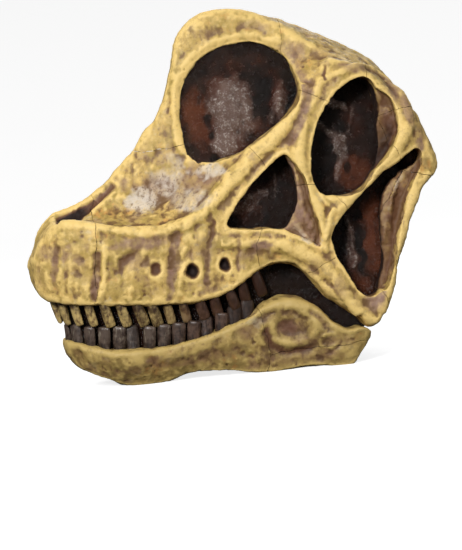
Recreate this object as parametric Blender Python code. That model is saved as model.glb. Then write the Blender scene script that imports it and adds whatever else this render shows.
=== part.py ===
"""A life-size skull of a long-necked, high-crested sauropod dinosaur, as a museum shows it.

The skull faces -X, its left side faces -Y, and it rests on the underside of its lower jaw at
z = 0. It is a pair of lofted envelopes, one for the cranium and one for the lower jaw. The
openings are cut right through them, and the rock that fills the skull is left as a core, so
that only the bones' outer shell stands round it. Thin cuts along the sutures then part the
shell into the bones.
"""

import math

import bmesh
import bpy
import numpy as np
from mathutils import Vector

# Driving sizes, in metres
VOXEL = 0.005
SUTURE = 0.0012
ROCK_GAP = 0.0006
FAR = 0.25
REACH = 0.80
SPAN_STEPS = 3
SMOOTH_PASSES = 4

# How many triangles the decimated bodies keep
CRANIUM_TRIANGLES = 1600
JAW_TRIANGLES = 560
ROCK_TRIANGLES = 300
BRAINCASE_TRIANGLES = 260

# The cranium's cross-sections from snout to occiput. top: the crest on the midline.
# rim: the edge between the roof, or the nasal fossa, and the side wall. low: the tooth line,
# then the lower edge of the cheek bar.
#   x, top z, top half-width, rim half-width, rim z, side half-width, low half-width, low z
CRANIUM_SECTIONS = (
    (-0.362, 0.232, 0.004, 0.010, 0.226, 0.012, 0.010, 0.208),
    (-0.355, 0.250, 0.015, 0.036, 0.238, 0.040, 0.034, 0.184),
    (-0.340, 0.280, 0.018, 0.056, 0.262, 0.062, 0.055, 0.164),
    (-0.315, 0.311, 0.018, 0.072, 0.286, 0.080, 0.072, 0.157),
    (-0.280, 0.323, 0.014, 0.087, 0.290, 0.094, 0.086, 0.151),
    (-0.230, 0.348, 0.012, 0.098, 0.280, 0.104, 0.096, 0.146),
    (-0.180, 0.388, 0.012, 0.104, 0.266, 0.108, 0.101, 0.141),
    (-0.130, 0.440, 0.012, 0.106, 0.262, 0.110, 0.104, 0.136),
    (-0.098, 0.483, 0.013, 0.106, 0.268, 0.111, 0.106, 0.135),
    (-0.072, 0.552, 0.016, 0.106, 0.278, 0.112, 0.108, 0.137),
    (-0.055, 0.598, 0.019, 0.106, 0.288, 0.112, 0.108, 0.139),
    (-0.020, 0.630, 0.024, 0.104, 0.318, 0.113, 0.110, 0.149),
    (0.020, 0.641, 0.028, 0.099, 0.360, 0.115, 0.113, 0.172),
    (0.060, 0.640, 0.032, 0.098, 0.395, 0.118, 0.118, 0.187),
    (0.100, 0.628, 0.038, 0.100, 0.432, 0.122, 0.124, 0.178),
    (0.140, 0.613, 0.050, 0.104, 0.475, 0.126, 0.130, 0.131),
    (0.190, 0.590, 0.063, 0.111, 0.508, 0.130, 0.139, 0.085),
    (0.215, 0.577, 0.068, 0.115, 0.506, 0.132, 0.141, 0.061),
    (0.238, 0.564, 0.071, 0.118, 0.498, 0.134, 0.142, 0.076),
    (0.262, 0.550, 0.073, 0.120, 0.484, 0.136, 0.141, 0.150),
    (0.285, 0.533, 0.074, 0.122, 0.464, 0.138, 0.140, 0.213),
    (0.310, 0.505, 0.073, 0.122, 0.442, 0.137, 0.136, 0.266),
    (0.335, 0.461, 0.068, 0.120, 0.414, 0.134, 0.132, 0.298),
    (0.355, 0.404, 0.060, 0.116, 0.376, 0.130, 0.126, 0.312),
    (0.366, 0.366, 0.052, 0.104, 0.352, 0.120, 0.112, 0.326),
)

# The lower jaw's cross-sections: x, top z, top half-width, bottom half-width, bottom z
JAW_SECTIONS = (
    (-0.318, 0.086, 0.008, 0.006, 0.076),
    (-0.312, 0.089, 0.030, 0.024, 0.061),
    (-0.298, 0.086, 0.049, 0.040, 0.045),
    (-0.280, 0.080, 0.064, 0.050, 0.031),
    (-0.250, 0.071, 0.080, 0.060, 0.016),
    (-0.218, 0.065, 0.090, 0.068, 0.001),
    (-0.185, 0.064, 0.095, 0.073, -0.003),
    (-0.150, 0.065, 0.098, 0.077, -0.001),
    (-0.110, 0.068, 0.101, 0.082, 0.011),
    (-0.070, 0.075, 0.104, 0.088, 0.011),
    (-0.030, 0.087, 0.107, 0.094, 0.005),
    (0.005, 0.101, 0.110, 0.100, -0.001),
    (0.036, 0.122, 0.114, 0.105, -0.003),
    (0.065, 0.128, 0.119, 0.110, -0.002),
    (0.097, 0.122, 0.125, 0.115, 0.001),
    (0.125, 0.104, 0.131, 0.120, 0.000),
    (0.150, 0.077, 0.136, 0.126, -0.003),
    (0.175, 0.062, 0.140, 0.130, -0.003),
    (0.194, 0.060, 0.140, 0.131, 0.016),
    (0.208, 0.059, 0.138, 0.130, 0.036),
    (0.216, 0.058, 0.134, 0.128, 0.049),
)

# The rock core's cross-sections: x, top z, top half-width, middle z, middle half-width,
# low z, low half-width, bottom z
ROCK_SECTIONS = (
    (-0.306, 0.240, 0.008, 0.190, 0.022, 0.120, 0.020, 0.078),
    (-0.292, 0.262, 0.010, 0.200, 0.034, 0.120, 0.032, 0.066),
    (-0.265, 0.278, 0.012, 0.215, 0.054, 0.110, 0.050, 0.046),
    (-0.215, 0.300, 0.014, 0.230, 0.066, 0.100, 0.064, 0.033),
    (-0.150, 0.345, 0.012, 0.240, 0.070, 0.095, 0.070, 0.030),
    (-0.095, 0.400, 0.012, 0.255, 0.070, 0.100, 0.074, 0.030),
    (-0.050, 0.520, 0.016, 0.290, 0.064, 0.105, 0.076, 0.030),
    (-0.010, 0.578, 0.020, 0.330, 0.060, 0.110, 0.078, 0.030),
    (0.050, 0.595, 0.024, 0.360, 0.060, 0.115, 0.080, 0.030),
    (0.100, 0.588, 0.028, 0.370, 0.060, 0.120, 0.083, 0.030),
    (0.150, 0.568, 0.034, 0.380, 0.060, 0.120, 0.088, 0.032),
    (0.200, 0.540, 0.042, 0.380, 0.064, 0.130, 0.092, 0.045),
    (0.245, 0.512, 0.048, 0.370, 0.076, 0.150, 0.094, 0.085),
    (0.285, 0.478, 0.050, 0.350, 0.084, 0.200, 0.090, 0.150),
    (0.305, 0.440, 0.044, 0.355, 0.070, 0.260, 0.070, 0.215),
)

# The openings in the side wall, as closed curves through x, z
NARIS = (
    (-0.055, 0.509), (-0.063, 0.468), (-0.056, 0.422), (-0.034, 0.392), (0.004, 0.385),
    (0.050, 0.399), (0.100, 0.432), (0.138, 0.474), (0.136, 0.530), (0.108, 0.566),
    (0.060, 0.579), (0.000, 0.568), (-0.035, 0.542),
)
ORBIT = (
    (0.242, 0.497), (0.200, 0.474), (0.165, 0.435), (0.145, 0.390), (0.141, 0.340),
    (0.154, 0.304), (0.185, 0.295), (0.213, 0.300), (0.245, 0.331), (0.285, 0.372),
    (0.298, 0.412), (0.286, 0.462),
)
ANTORBITAL = (
    (0.098, 0.376), (0.060, 0.350), (0.012, 0.306), (-0.016, 0.262), (0.010, 0.252),
    (0.060, 0.250), (0.100, 0.231), (0.138, 0.212), (0.140, 0.250), (0.125, 0.310),
)
INFRATEMPORAL = (
    (0.312, 0.366), (0.250, 0.316), (0.185, 0.260), (0.160, 0.225), (0.172, 0.175),
    (0.202, 0.108), (0.238, 0.128), (0.252, 0.190), (0.273, 0.235), (0.296, 0.285),
    (0.326, 0.325), (0.332, 0.350),
)

# Raised ridges on the side wall: x, z and radius
RIM_RIDGE = (
    (-0.300, 0.291, 0.007), (-0.242, 0.283, 0.009), (-0.180, 0.267, 0.010),
    (-0.123, 0.262, 0.011), (-0.060, 0.283, 0.012), (-0.015, 0.322, 0.013),
    (0.036, 0.365, 0.015), (0.085, 0.404, 0.015), (0.128, 0.446, 0.013), (0.152, 0.492, 0.009),
)
LACRIMAL_RIDGE = (
    (0.180, 0.500, 0.008), (0.160, 0.470, 0.010), (0.136, 0.430, 0.011), (0.124, 0.390, 0.012),
    (0.121, 0.350, 0.012), (0.133, 0.305, 0.011), (0.147, 0.262, 0.010), (0.150, 0.220, 0.009),
)
POSTORBITAL_RIDGE = (
    (0.318, 0.405, 0.010), (0.296, 0.372, 0.012), (0.262, 0.343, 0.012), (0.225, 0.307, 0.012),
    (0.186, 0.276, 0.011), (0.158, 0.245, 0.009),
)
JUGAL_RIDGE = (
    (-0.030, 0.235, 0.008), (0.030, 0.228, 0.011), (0.085, 0.218, 0.013),
    (0.135, 0.184, 0.013), (0.168, 0.142, 0.012), (0.200, 0.088, 0.010),
)
BROW_RIDGE = (
    (0.165, 0.490, 0.008), (0.205, 0.506, 0.010), (0.250, 0.514, 0.010),
    (0.292, 0.488, 0.010), (0.314, 0.448, 0.010), (0.322, 0.410, 0.009),
)
QUADRATE_RIDGE = (
    (0.345, 0.322, 0.009), (0.318, 0.290, 0.009), (0.297, 0.252, 0.009),
    (0.278, 0.212, 0.009), (0.263, 0.172, 0.009), (0.251, 0.128, 0.009), (0.232, 0.086, 0.010),
)

# Blood vessel holes in the upper jaw: x, z; and their size
FORAMINA = ((-0.149, 0.201), (-0.085, 0.192), (-0.026, 0.198))
FORAMEN_RADIUS = 0.009
FORAMEN_DEPTH = 0.016

# The braincase as ball shapes: centre x, y, z, then radii x, y, z
BRAINCASE_BALLS = (
    (0.312, 0.000, 0.372, 0.030, 0.056, 0.046),
    (0.316, 0.000, 0.318, 0.030, 0.034, 0.034),
    (0.322, 0.050, 0.350, 0.020, 0.056, 0.026),
    (0.322, -0.050, 0.350, 0.020, 0.056, 0.026),
    (0.338, 0.000, 0.290, 0.022, 0.021, 0.020),
    (0.312, 0.016, 0.256, 0.016, 0.014, 0.028),
    (0.312, -0.016, 0.256, 0.016, 0.014, 0.028),
)
SPINAL_HOLE = (0.345, 0.000, 0.324, 0.030, 0.013, 0.012)

# The arch between the two quadrates at the back: half-width and z from its top down
OCCIPUT_ARCH = (
    (0.030, 0.432), (0.062, 0.415), (0.082, 0.380), (0.088, 0.330), (0.090, 0.250),
    (0.094, 0.150), (0.096, 0.020),
)
OCCIPUT_FRONT = 0.195

# The open floor of the mouth: how thick the jaw stays beside it, and its x, half-width as a
# share of the room there, and top z from front to back
JAW_WALL = 0.030
MOUTH_FLOOR = (
    (-0.205, 0.30, 0.030), (-0.165, 0.80, 0.034), (-0.130, 1.00, 0.034), (0.000, 1.00, 0.034),
    (0.172, 1.00, 0.034), (0.180, 1.00, 0.200), (0.250, 1.00, 0.200),
)

# Teeth: how many on each side, and how big they are
UPPER_TEETH = 15
LOWER_TEETH = 14
TOOTH_FILL = 0.84
TOOTH_DEPTH = 0.62
TOOTH_SIDES = 6
TOOTH_TIP = 0.68
TOOTH_ROOT = 0.014
BITE_GAP = 0.004

# Where the tooth rows run in plan, from the midline at the front to the last tooth: x, y
UPPER_ROW = (
    (-0.327, 0.000), (-0.322, 0.024), (-0.307, 0.047), (-0.284, 0.066), (-0.250, 0.079),
    (-0.190, 0.087), (-0.120, 0.090), (-0.060, 0.094), (-0.010, 0.098), (0.036, 0.100),
)
LOWER_ROW = (
    (-0.312, 0.000), (-0.307, 0.021), (-0.292, 0.041), (-0.266, 0.056), (-0.228, 0.068),
    (-0.170, 0.078), (-0.110, 0.083), (-0.055, 0.087), (-0.010, 0.091), (0.018, 0.093),
)

# Where upper and lower teeth meet: x and z
BITE = (
    (-0.345, 0.122), (-0.300, 0.116), (-0.257, 0.109), (-0.160, 0.102), (-0.110, 0.101),
    (-0.058, 0.107), (-0.020, 0.117), (0.040, 0.142),
)

# Middles of the bones on the side wall: bone, x, z, and a weight in square metres that moves
# its sutures outwards. A bent bone has two middles.
CRANIUM_BONES = (
    ("premaxilla", -0.3475, 0.240, 0.000),
    ("maxilla", -0.110, 0.215, 0.010),
    ("maxilla", 0.000, 0.320, 0.000),
    ("nasal", -0.020, 0.560, 0.012),
    ("frontal", 0.205, 0.540, 0.000),
    ("parietal", 0.315, 0.520, 0.000),
    ("lacrimal", 0.120, 0.400, 0.000),
    ("jugal", 0.128, 0.240, 0.000),
    ("postorbital", 0.245, 0.325, 0.000),
    ("quadratojugal", 0.180, 0.130, 0.000),
    ("squamosal", 0.350, 0.360, 0.000),
    ("quadrate", 0.275, 0.170, 0.000),
    ("quadrate", 0.320, 0.270, 0.000),
)
JAW_BONES = (
    ("dentary", -0.080, 0.050, 0.005),
    ("surangular", 0.120, 0.085, 0.000),
    ("angular", 0.125, -0.015, 0.000),
)
SEAM_OVERLAP = 0.0005
SHARP_ANGLE = math.radians(38)

BONE_COLOUR = (0.60, 0.44, 0.16, 1.0)
JAW_COLOUR = (0.50, 0.40, 0.19, 1.0)
ROCK_COLOUR = (0.06, 0.025, 0.015, 1.0)


def clear_scene():
    for obj in list(bpy.data.objects):
        bpy.data.objects.remove(obj)


def make_material(name, colour, roughness):
    material = bpy.data.materials.new(name)
    material.use_nodes = True
    shader = material.node_tree.nodes["Principled BSDF"]
    shader.inputs["Base Color"].default_value = colour
    shader.inputs["Roughness"].default_value = roughness
    shader.inputs["Metallic"].default_value = 0.0
    return material


def smooth_path(points, steps, closed=False):
    """Points along a Catmull-Rom curve through the given ones, with steps to each span."""
    given = np.array(points, float)
    count = len(given)
    made = []
    for i in range(count if closed else count - 1):
        near = [i + k - 1 for k in range(4)]
        if closed:
            near = [n % count for n in near]
        a, b, c, d = (given[min(max(n, 0), count - 1)] for n in near)
        for t in np.arange(steps) / steps:
            line = 2 * b + (c - a) * t
            bend = (2 * a - 5 * b + 4 * c - d) * t**2 + (3 * b - a - 3 * c + d) * t**3
            made.append((line + bend) / 2)
    if not closed:
        made.append(given[-1])
    return np.array(made)


def new_object(name, mesh):
    obj = bpy.data.objects.new(name, mesh)
    bpy.context.scene.collection.objects.link(obj)
    return obj


def loft(name, rings):
    """A closed body through rings of points, all with the same count."""
    mesh = bmesh.new()
    loops = [[mesh.verts.new(point) for point in ring] for ring in rings]
    count = len(loops[0])
    for near, far in zip(loops, loops[1:]):
        for i in range(count):
            j = (i + 1) % count
            mesh.faces.new((near[i], near[j], far[j], far[i]))
    mesh.faces.new(loops[0])
    mesh.faces.new(loops[-1])
    bmesh.ops.recalc_face_normals(mesh, faces=mesh.faces)
    data = bpy.data.meshes.new(name)
    mesh.to_mesh(data)
    mesh.free()
    return new_object(name, data)


def ball(name, centre, radii, rings=12):
    mesh = bmesh.new()
    bmesh.ops.create_uvsphere(mesh, u_segments=2 * rings, v_segments=rings, radius=1.0)
    bmesh.ops.scale(mesh, vec=radii, verts=mesh.verts)
    bmesh.ops.translate(mesh, vec=centre, verts=mesh.verts)
    data = bpy.data.meshes.new(name)
    mesh.to_mesh(data)
    mesh.free()
    return new_object(name, data)


def block(name, low, high):
    corners = [
        [(x, low[1], low[2]), (x, high[1], low[2]), (x, high[1], high[2]), (x, low[1], high[2])]
        for x in (low[0], high[0])
    ]
    return loft(name, corners)


def join(name, objects):
    """One object that holds the meshes of all of them, which it removes."""
    mesh = bmesh.new()
    for obj in objects:
        mesh.from_mesh(obj.data)
        bpy.data.objects.remove(obj)
    data = bpy.data.meshes.new(name)
    mesh.to_mesh(data)
    mesh.free()
    return new_object(name, data)


def apply_modifiers(obj):
    """Puts the evaluated mesh in place of the object's own."""
    graph = bpy.context.evaluated_depsgraph_get()
    made = bpy.data.meshes.new_from_object(obj.evaluated_get(graph))
    obj.modifiers.clear()
    obj.data = made
    return obj


def boolean(obj, operation, other, solver="EXACT"):
    modifier = obj.modifiers.new(operation.title(), "BOOLEAN")
    modifier.operation = operation
    modifier.object = other
    modifier.solver = solver
    return apply_modifiers(obj)


def fuse(obj, voxel=VOXEL, passes=SMOOTH_PASSES):
    """Melts overlapping bodies into one skin with rounded edges."""
    remesh = obj.modifiers.new("Fuse", "REMESH")
    remesh.mode = "VOXEL"
    remesh.voxel_size = voxel
    soften = obj.modifiers.new("Soften", "SMOOTH")
    soften.factor = 0.5
    soften.iterations = passes
    return apply_modifiers(obj)


def thin_out(obj, triangles):
    """Cuts the mesh down to about this many triangles."""
    have = sum(len(face.vertices) - 2 for face in obj.data.polygons)
    decimate = obj.modifiers.new("Thin", "DECIMATE")
    decimate.ratio = triangles / have
    obj.modifiers.new("Triangles", "TRIANGULATE")
    return apply_modifiers(obj)


def swollen(obj, distance):
    """A helper copy of the body, grown by distance."""
    copy = new_object(obj.name + "_grown", obj.data.copy())
    grow = copy.modifiers.new("Grow", "DISPLACE")
    grow.strength = distance
    grow.mid_level = 0.0
    return apply_modifiers(copy)


def discard(*objects):
    for obj in objects:
        bpy.data.objects.remove(obj)


def cranium_profile(section):
    """The cranium's outline on one side at one station, as (half-width, z)."""
    _, top_z, top_w, rim_w, rim_z, side_w, low_w, low_z = section
    height = rim_z - low_z
    slope_w = (top_w + rim_w) / 2
    slope_z = (top_z + rim_z) / 2
    hollow = 0.10 * (top_z - rim_z)
    corner = min(0.012, low_w / 2)
    return (
        (0.0, top_z),
        (top_w, top_z - 0.5 * top_w),
        (slope_w - hollow, slope_z - hollow),
        (rim_w, rim_z),
        (side_w, rim_z - 0.40 * height),
        (low_w + 0.003, low_z + 0.12 * height),
        (low_w - corner, low_z),
        (0.0, low_z + 0.004),
    )


def jaw_profile(section):
    _, top_z, top_w, bottom_w, bottom_z = section
    height = top_z - bottom_z
    corner = min(0.010, top_w / 2)
    return (
        (0.0, top_z - 0.002),
        (top_w - corner, top_z),
        (top_w, top_z - 0.2 * height),
        ((top_w + bottom_w) / 2 + 0.003, bottom_z + 0.45 * height),
        (bottom_w + 0.001, bottom_z + 0.12 * height),
        (bottom_w - corner, bottom_z),
        (0.0, bottom_z),
    )


def rock_profile(section):
    _, top_z, top_w, middle_z, middle_w, low_z, low_w, bottom_z = section
    return (
        (0.0, top_z),
        (top_w, top_z - 0.006),
        (0.45 * top_w + 0.55 * middle_w, 0.45 * top_z + 0.55 * middle_z),
        (middle_w, middle_z),
        (low_w, low_z),
        (low_w - 0.012, bottom_z + 0.006),
        (0.0, bottom_z),
    )


def envelope(name, sections, profile, steps=SPAN_STEPS):
    """A body lofted along X through smooth cross-sections."""
    stations = smooth_path(sections, steps)
    rings = []
    for station in stations:
        half = smooth_path(profile(station), steps)
        half[:, 0] = np.maximum(half[:, 0], 0.0)
        half[[0, -1], 0] = 0.0
        inner = [(width, z) for width, z in half[1:-1] if width > 1e-4]
        if len(inner) < len(half) - 2:
            inner = [(max(width, 1e-3), z) for width, z in half[1:-1]]
        left = [Vector((station[0], -width, z)) for width, z in inner]
        right = [Vector((station[0], width, z)) for width, z in inner[::-1]]
        top = [Vector((station[0], 0.0, half[0][1]))]
        bottom = [Vector((station[0], 0.0, half[-1][1]))]
        rings.append(top + left + bottom + right)
    return loft(name, rings)


def wall_half_width(sections, profile, x, z):
    """How far the side wall lies from the midline at x and z."""
    table = np.array(sections)
    station = [np.interp(x, table[:, 0], column) for column in table.T]
    half = smooth_path(profile(station), 8)
    lowest = int(np.argmin(np.abs(half[:, 1] - profile(station)[-3][1])))
    upper = half[: lowest + 1]
    order = np.argsort(upper[:, 1])
    return float(np.interp(z, upper[order, 1], upper[order, 0]))


def opening(name, outline, steps=2):
    """A cutter that goes right through from side to side."""
    curve = smooth_path(outline, steps, closed=True)
    rings = [[Vector((x, y, z)) for x, z in curve] for y in (-FAR, FAR)]
    return loft(name, rings)


def tube(name, points, radii, sides=10):
    """A round bar along points, with its own radius at each."""
    rings = []
    for i, point in enumerate(points):
        ahead = points[min(i + 1, len(points) - 1)] - points[max(i - 1, 0)]
        across = ahead.cross(Vector((0, 1, 0))).normalized()
        outward = across.cross(ahead).normalized()
        turns = [2 * math.pi * k / sides for k in range(sides)]
        rings.append([
            point + radii[i] * (math.cos(turn) * across + math.sin(turn) * outward)
            for turn in turns
        ])
    return loft(name, rings)


def ridge_pair(name, stations, sections, profile):
    """A raised ridge on both side walls, half sunk in them."""
    path = smooth_path(stations, 3)
    made = []
    for side in (-1, 1):
        points = []
        for x, z, radius in path:
            width = wall_half_width(sections, profile, x, z) - 0.35 * radius
            points.append(Vector((x, side * width, z)))
        made.append(tube(f"{name}_{side}", points, path[:, 2].tolist()))
    return made


def arch(name, outline, front, back):
    """A tunnel-shaped cutter along X under a symmetric arch."""
    half = smooth_path(outline, 2)
    left = [(-width, z) for width, z in half]
    right = [(width, z) for width, z in half[::-1]]
    rings = [[Vector((x, y, z)) for y, z in left + right] for x in (front, back)]
    return loft(name, rings)


def tooth(name, place, turn, width, root, tip):
    """A tooth tapering from its root to its tip, turned to face out of the row."""
    rings = []
    for z, scale in ((root, 1.0), (tip, TOOTH_TIP)):
        ring = []
        for k in range(TOOTH_SIDES):
            angle = 2 * math.pi * k / TOOTH_SIDES
            along = width / 2 * scale * math.cos(angle)
            across = width / 2 * TOOTH_DEPTH * scale * math.sin(angle)
            x = place[0] + along * math.cos(turn) - across * math.sin(turn)
            y = place[1] + along * math.sin(turn) + across * math.cos(turn)
            ring.append(Vector((x, y, z)))
        rings.append(ring)
    return loft(name, rings)


def tooth_row(name, row, count, sections, edge, tip_shift):
    """Teeth on both sides along the row, from inside the bone's edge to the bite line."""
    path = smooth_path(row, 8)
    steps = np.linalg.norm(np.diff(path, axis=0), axis=1)
    run = np.concatenate(([0.0], np.cumsum(steps)))
    spacing = run[-1] / count
    bite = np.array(BITE)
    bone = np.array(sections)[:, (0, edge)]
    made = []
    for i in range(count):
        at = (i + 0.5) * spacing
        x, y = (float(np.interp(at, run, path[:, k])) for k in (0, 1))
        near, far = (
            [float(np.interp(at + reach, run, path[:, k])) for k in (0, 1)]
            for reach in (-TOOTH_ROOT, TOOTH_ROOT)
        )
        turn = math.atan2(far[1] - near[1], far[0] - near[0])
        edge_z = float(np.interp(x, bone[:, 0], bone[:, 1]))
        tip = float(np.interp(x, bite[:, 0], bite[:, 1])) + tip_shift
        root = edge_z + math.copysign(TOOTH_ROOT, edge_z - tip)
        for side in (-1, 1):
            place = (x, side * y)
            label = f"{name}_{i}_{side}"
            made.append(tooth(label, place, side * turn, TOOTH_FILL * spacing, root, tip))
    return join(name, made)


def make_cranium():
    """The cranium's outer form: the envelope with its ridges, less its openings."""
    bodies = [envelope("cranium_form", CRANIUM_SECTIONS, cranium_profile)]
    ridges = {
        "rim": RIM_RIDGE, "lacrimal": LACRIMAL_RIDGE, "postorbital": POSTORBITAL_RIDGE,
        "jugal": JUGAL_RIDGE, "brow": BROW_RIDGE, "quadrate": QUADRATE_RIDGE,
    }
    for name, stations in ridges.items():
        bodies += ridge_pair(name, stations, CRANIUM_SECTIONS, cranium_profile)
    cranium = thin_out(fuse(join("cranium", bodies)), CRANIUM_TRIANGLES)
    cutters = [
        opening("naris", NARIS), opening("orbit", ORBIT),
        opening("antorbital", ANTORBITAL), opening("infratemporal", INFRATEMPORAL),
        arch("occiput_arch", OCCIPUT_ARCH, OCCIPUT_FRONT, 0.45),
    ]
    for x, z in FORAMINA:
        width = wall_half_width(CRANIUM_SECTIONS, cranium_profile, x, z)
        radii = (FORAMEN_RADIUS, FORAMEN_DEPTH, FORAMEN_RADIUS)
        for side in (-1, 1):
            cutters.append(ball("foramen", (x, side * width, z), radii, rings=3))
    for cutter in cutters:
        boolean(cranium, "DIFFERENCE", cutter)
        discard(cutter)
    teeth = tooth_row("upper", UPPER_ROW, UPPER_TEETH, CRANIUM_SECTIONS, 7, BITE_GAP / 2)
    boolean(cranium, "UNION", teeth)
    discard(teeth)
    return cranium


def make_jaw():
    """The lower jaw's outer form, with its teeth and open floor."""
    jaw = thin_out(fuse(envelope("jaw", JAW_SECTIONS, jaw_profile)), JAW_TRIANGLES)
    room = np.array([(row[0], row[3] - JAW_WALL) for row in JAW_SECTIONS])
    rings = []
    for x, share, top in MOUTH_FLOOR:
        width = share * float(np.interp(x, room[:, 0], room[:, 1]))
        corners = ((-width, -0.05), (width, -0.05), (width, top), (-width, top))
        rings.append([Vector((x, y, z)) for y, z in corners])
    floor = loft("floor", rings)
    ground = block("ground", (-0.5, -0.3, -0.05), (0.5, 0.3, 0.0))
    for cutter in (floor, ground):
        boolean(jaw, "DIFFERENCE", cutter)
        discard(cutter)
    teeth = tooth_row("lower", LOWER_ROW, LOWER_TEETH, JAW_SECTIONS, 1, -BITE_GAP / 2)
    boolean(jaw, "UNION", teeth)
    discard(teeth)
    return jaw


def make_braincase():
    balls = [ball("lobe", item[:3], item[3:], rings=8) for item in BRAINCASE_BALLS]
    braincase = thin_out(fuse(join("braincase", balls)), BRAINCASE_TRIANGLES)
    hole = ball("hole", SPINAL_HOLE[:3], SPINAL_HOLE[3:], rings=5)
    boolean(braincase, "DIFFERENCE", hole)
    discard(hole)
    return braincase


def make_rock():
    return thin_out(envelope("rock_matrix", ROCK_SECTIONS, rock_profile), ROCK_TRIANGLES)


def clip(polygon, normal, reach):
    """The part of a convex polygon in (x, z) that lies where point . normal < reach."""
    kept = []
    for i, point in enumerate(polygon):
        following = polygon[(i + 1) % len(polygon)]
        here = float(np.dot(point, normal)) - reach
        there = float(np.dot(following, normal)) - reach
        if here <= 0:
            kept.append(point)
        if here * there < 0:
            kept.append(point + (following - point) * here / (here - there))
    return kept


def cell_polygon(seed, seeds):
    """The region nearer to this middle than to the others, less half a suture to other bones."""
    name, x, z, weight = seed
    corners = ((-REACH, -REACH), (REACH, -REACH), (REACH, REACH), (-REACH, REACH))
    polygon = [np.array(corner) for corner in corners]
    centre = np.array((x, z))
    for other in seeds:
        if other == seed:
            continue
        away = np.array(other[1:3]) - centre
        length = float(np.linalg.norm(away))
        middle = length / 2 + (weight - other[3]) / (2 * length)
        normal = away / length
        shrink = -SEAM_OVERLAP if other[0] == name else SUTURE / 2
        polygon = clip(polygon, normal, float(np.dot(centre, normal)) + middle - shrink)
    return polygon


def part_bones(body, seeds):
    """Cuts the body along the sutures and the midline into left and right bones.

    The exact solver leaves some of these bones out, so the manifold one makes them all.
    """
    bones = []
    for name in dict.fromkeys(seed[0] for seed in seeds):
        outlines = [cell_polygon(seed, seeds) for seed in seeds if seed[0] == name]
        for side, label in ((-1, "left"), (1, "right")):
            cells = []
            for outline in outlines:
                rings = [
                    [Vector((x, side * y, z)) for x, z in outline]
                    for y in (SUTURE / 2, FAR)
                ]
                cells.append(loft("cell", rings))
            for extra in cells[1:]:
                boolean(cells[0], "UNION", extra)
            bone = new_object(f"{name}_{label}", body.data.copy())
            boolean(bone, "INTERSECT", cells[0], solver="MANIFOLD")
            discard(*cells)
            bones.append(bone)
    return bones


def shade(obj, material):
    obj.data.materials.clear()
    obj.data.materials.append(material)
    obj.data.shade_smooth()
    obj.data.set_sharp_from_angle(angle=SHARP_ANGLE)


def main():
    clear_scene()
    cranium = make_cranium()
    jaw = make_jaw()
    rock = make_rock()
    braincase = make_braincase()

    grown_rock = swollen(rock, ROCK_GAP)
    grown_braincase = swollen(braincase, ROCK_GAP)
    boolean(cranium, "DIFFERENCE", grown_rock)
    boolean(cranium, "DIFFERENCE", grown_braincase)
    boolean(jaw, "DIFFERENCE", grown_rock)
    boolean(rock, "DIFFERENCE", grown_braincase)
    discard(grown_rock, grown_braincase)

    bones = part_bones(cranium, CRANIUM_BONES)
    jaw_bones = part_bones(jaw, JAW_BONES)
    discard(cranium, jaw)

    for bone in bones + jaw_bones + [braincase]:
        colour = JAW_COLOUR if bone in jaw_bones else BONE_COLOUR
        shade(bone, make_material(bone.name + "_bone", colour, 0.55))
    shade(rock, make_material("rock", ROCK_COLOUR, 0.30))


main()
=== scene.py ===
"""The looks of the fossil skull: painted-looking ochre bone over dark glossy rock.

The bones are lofted from nearly the same cross-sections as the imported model, at a finer grain.
Their openings, hollows, ridges and grooves are carved, the rock core is taken out, and the
shell is parted into its bones along wavy sutures. Marks and stains are kept on the points as
numbers that the materials read.
"""

import math
from typing import NamedTuple

import bmesh
import bpy
import numpy as np
from mathutils import Matrix, Vector


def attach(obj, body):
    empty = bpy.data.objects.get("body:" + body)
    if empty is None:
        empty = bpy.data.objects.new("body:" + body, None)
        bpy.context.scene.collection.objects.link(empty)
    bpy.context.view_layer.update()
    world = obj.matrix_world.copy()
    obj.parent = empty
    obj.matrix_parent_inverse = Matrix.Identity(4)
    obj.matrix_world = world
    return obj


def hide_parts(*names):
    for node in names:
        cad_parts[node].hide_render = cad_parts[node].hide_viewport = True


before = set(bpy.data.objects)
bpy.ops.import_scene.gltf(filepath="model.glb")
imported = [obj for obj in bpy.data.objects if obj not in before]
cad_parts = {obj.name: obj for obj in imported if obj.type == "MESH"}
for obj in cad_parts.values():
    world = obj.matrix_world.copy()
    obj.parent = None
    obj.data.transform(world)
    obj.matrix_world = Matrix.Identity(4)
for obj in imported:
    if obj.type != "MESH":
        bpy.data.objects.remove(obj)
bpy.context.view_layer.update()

# Grain of the fine meshes and gaps between them, in metres
BONE_GRAIN = 0.0022
ROCK_GRAIN = 0.0034
SUTURE = 0.0008
MIDLINE_SUTURE = 0.0002
ROCK_GAP = 0.0006

# How far cutters reach to the side and along the skull, and the steps between cross-sections
FAR = 0.25
REACH = 0.80
SPAN_STEPS = 6

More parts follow.
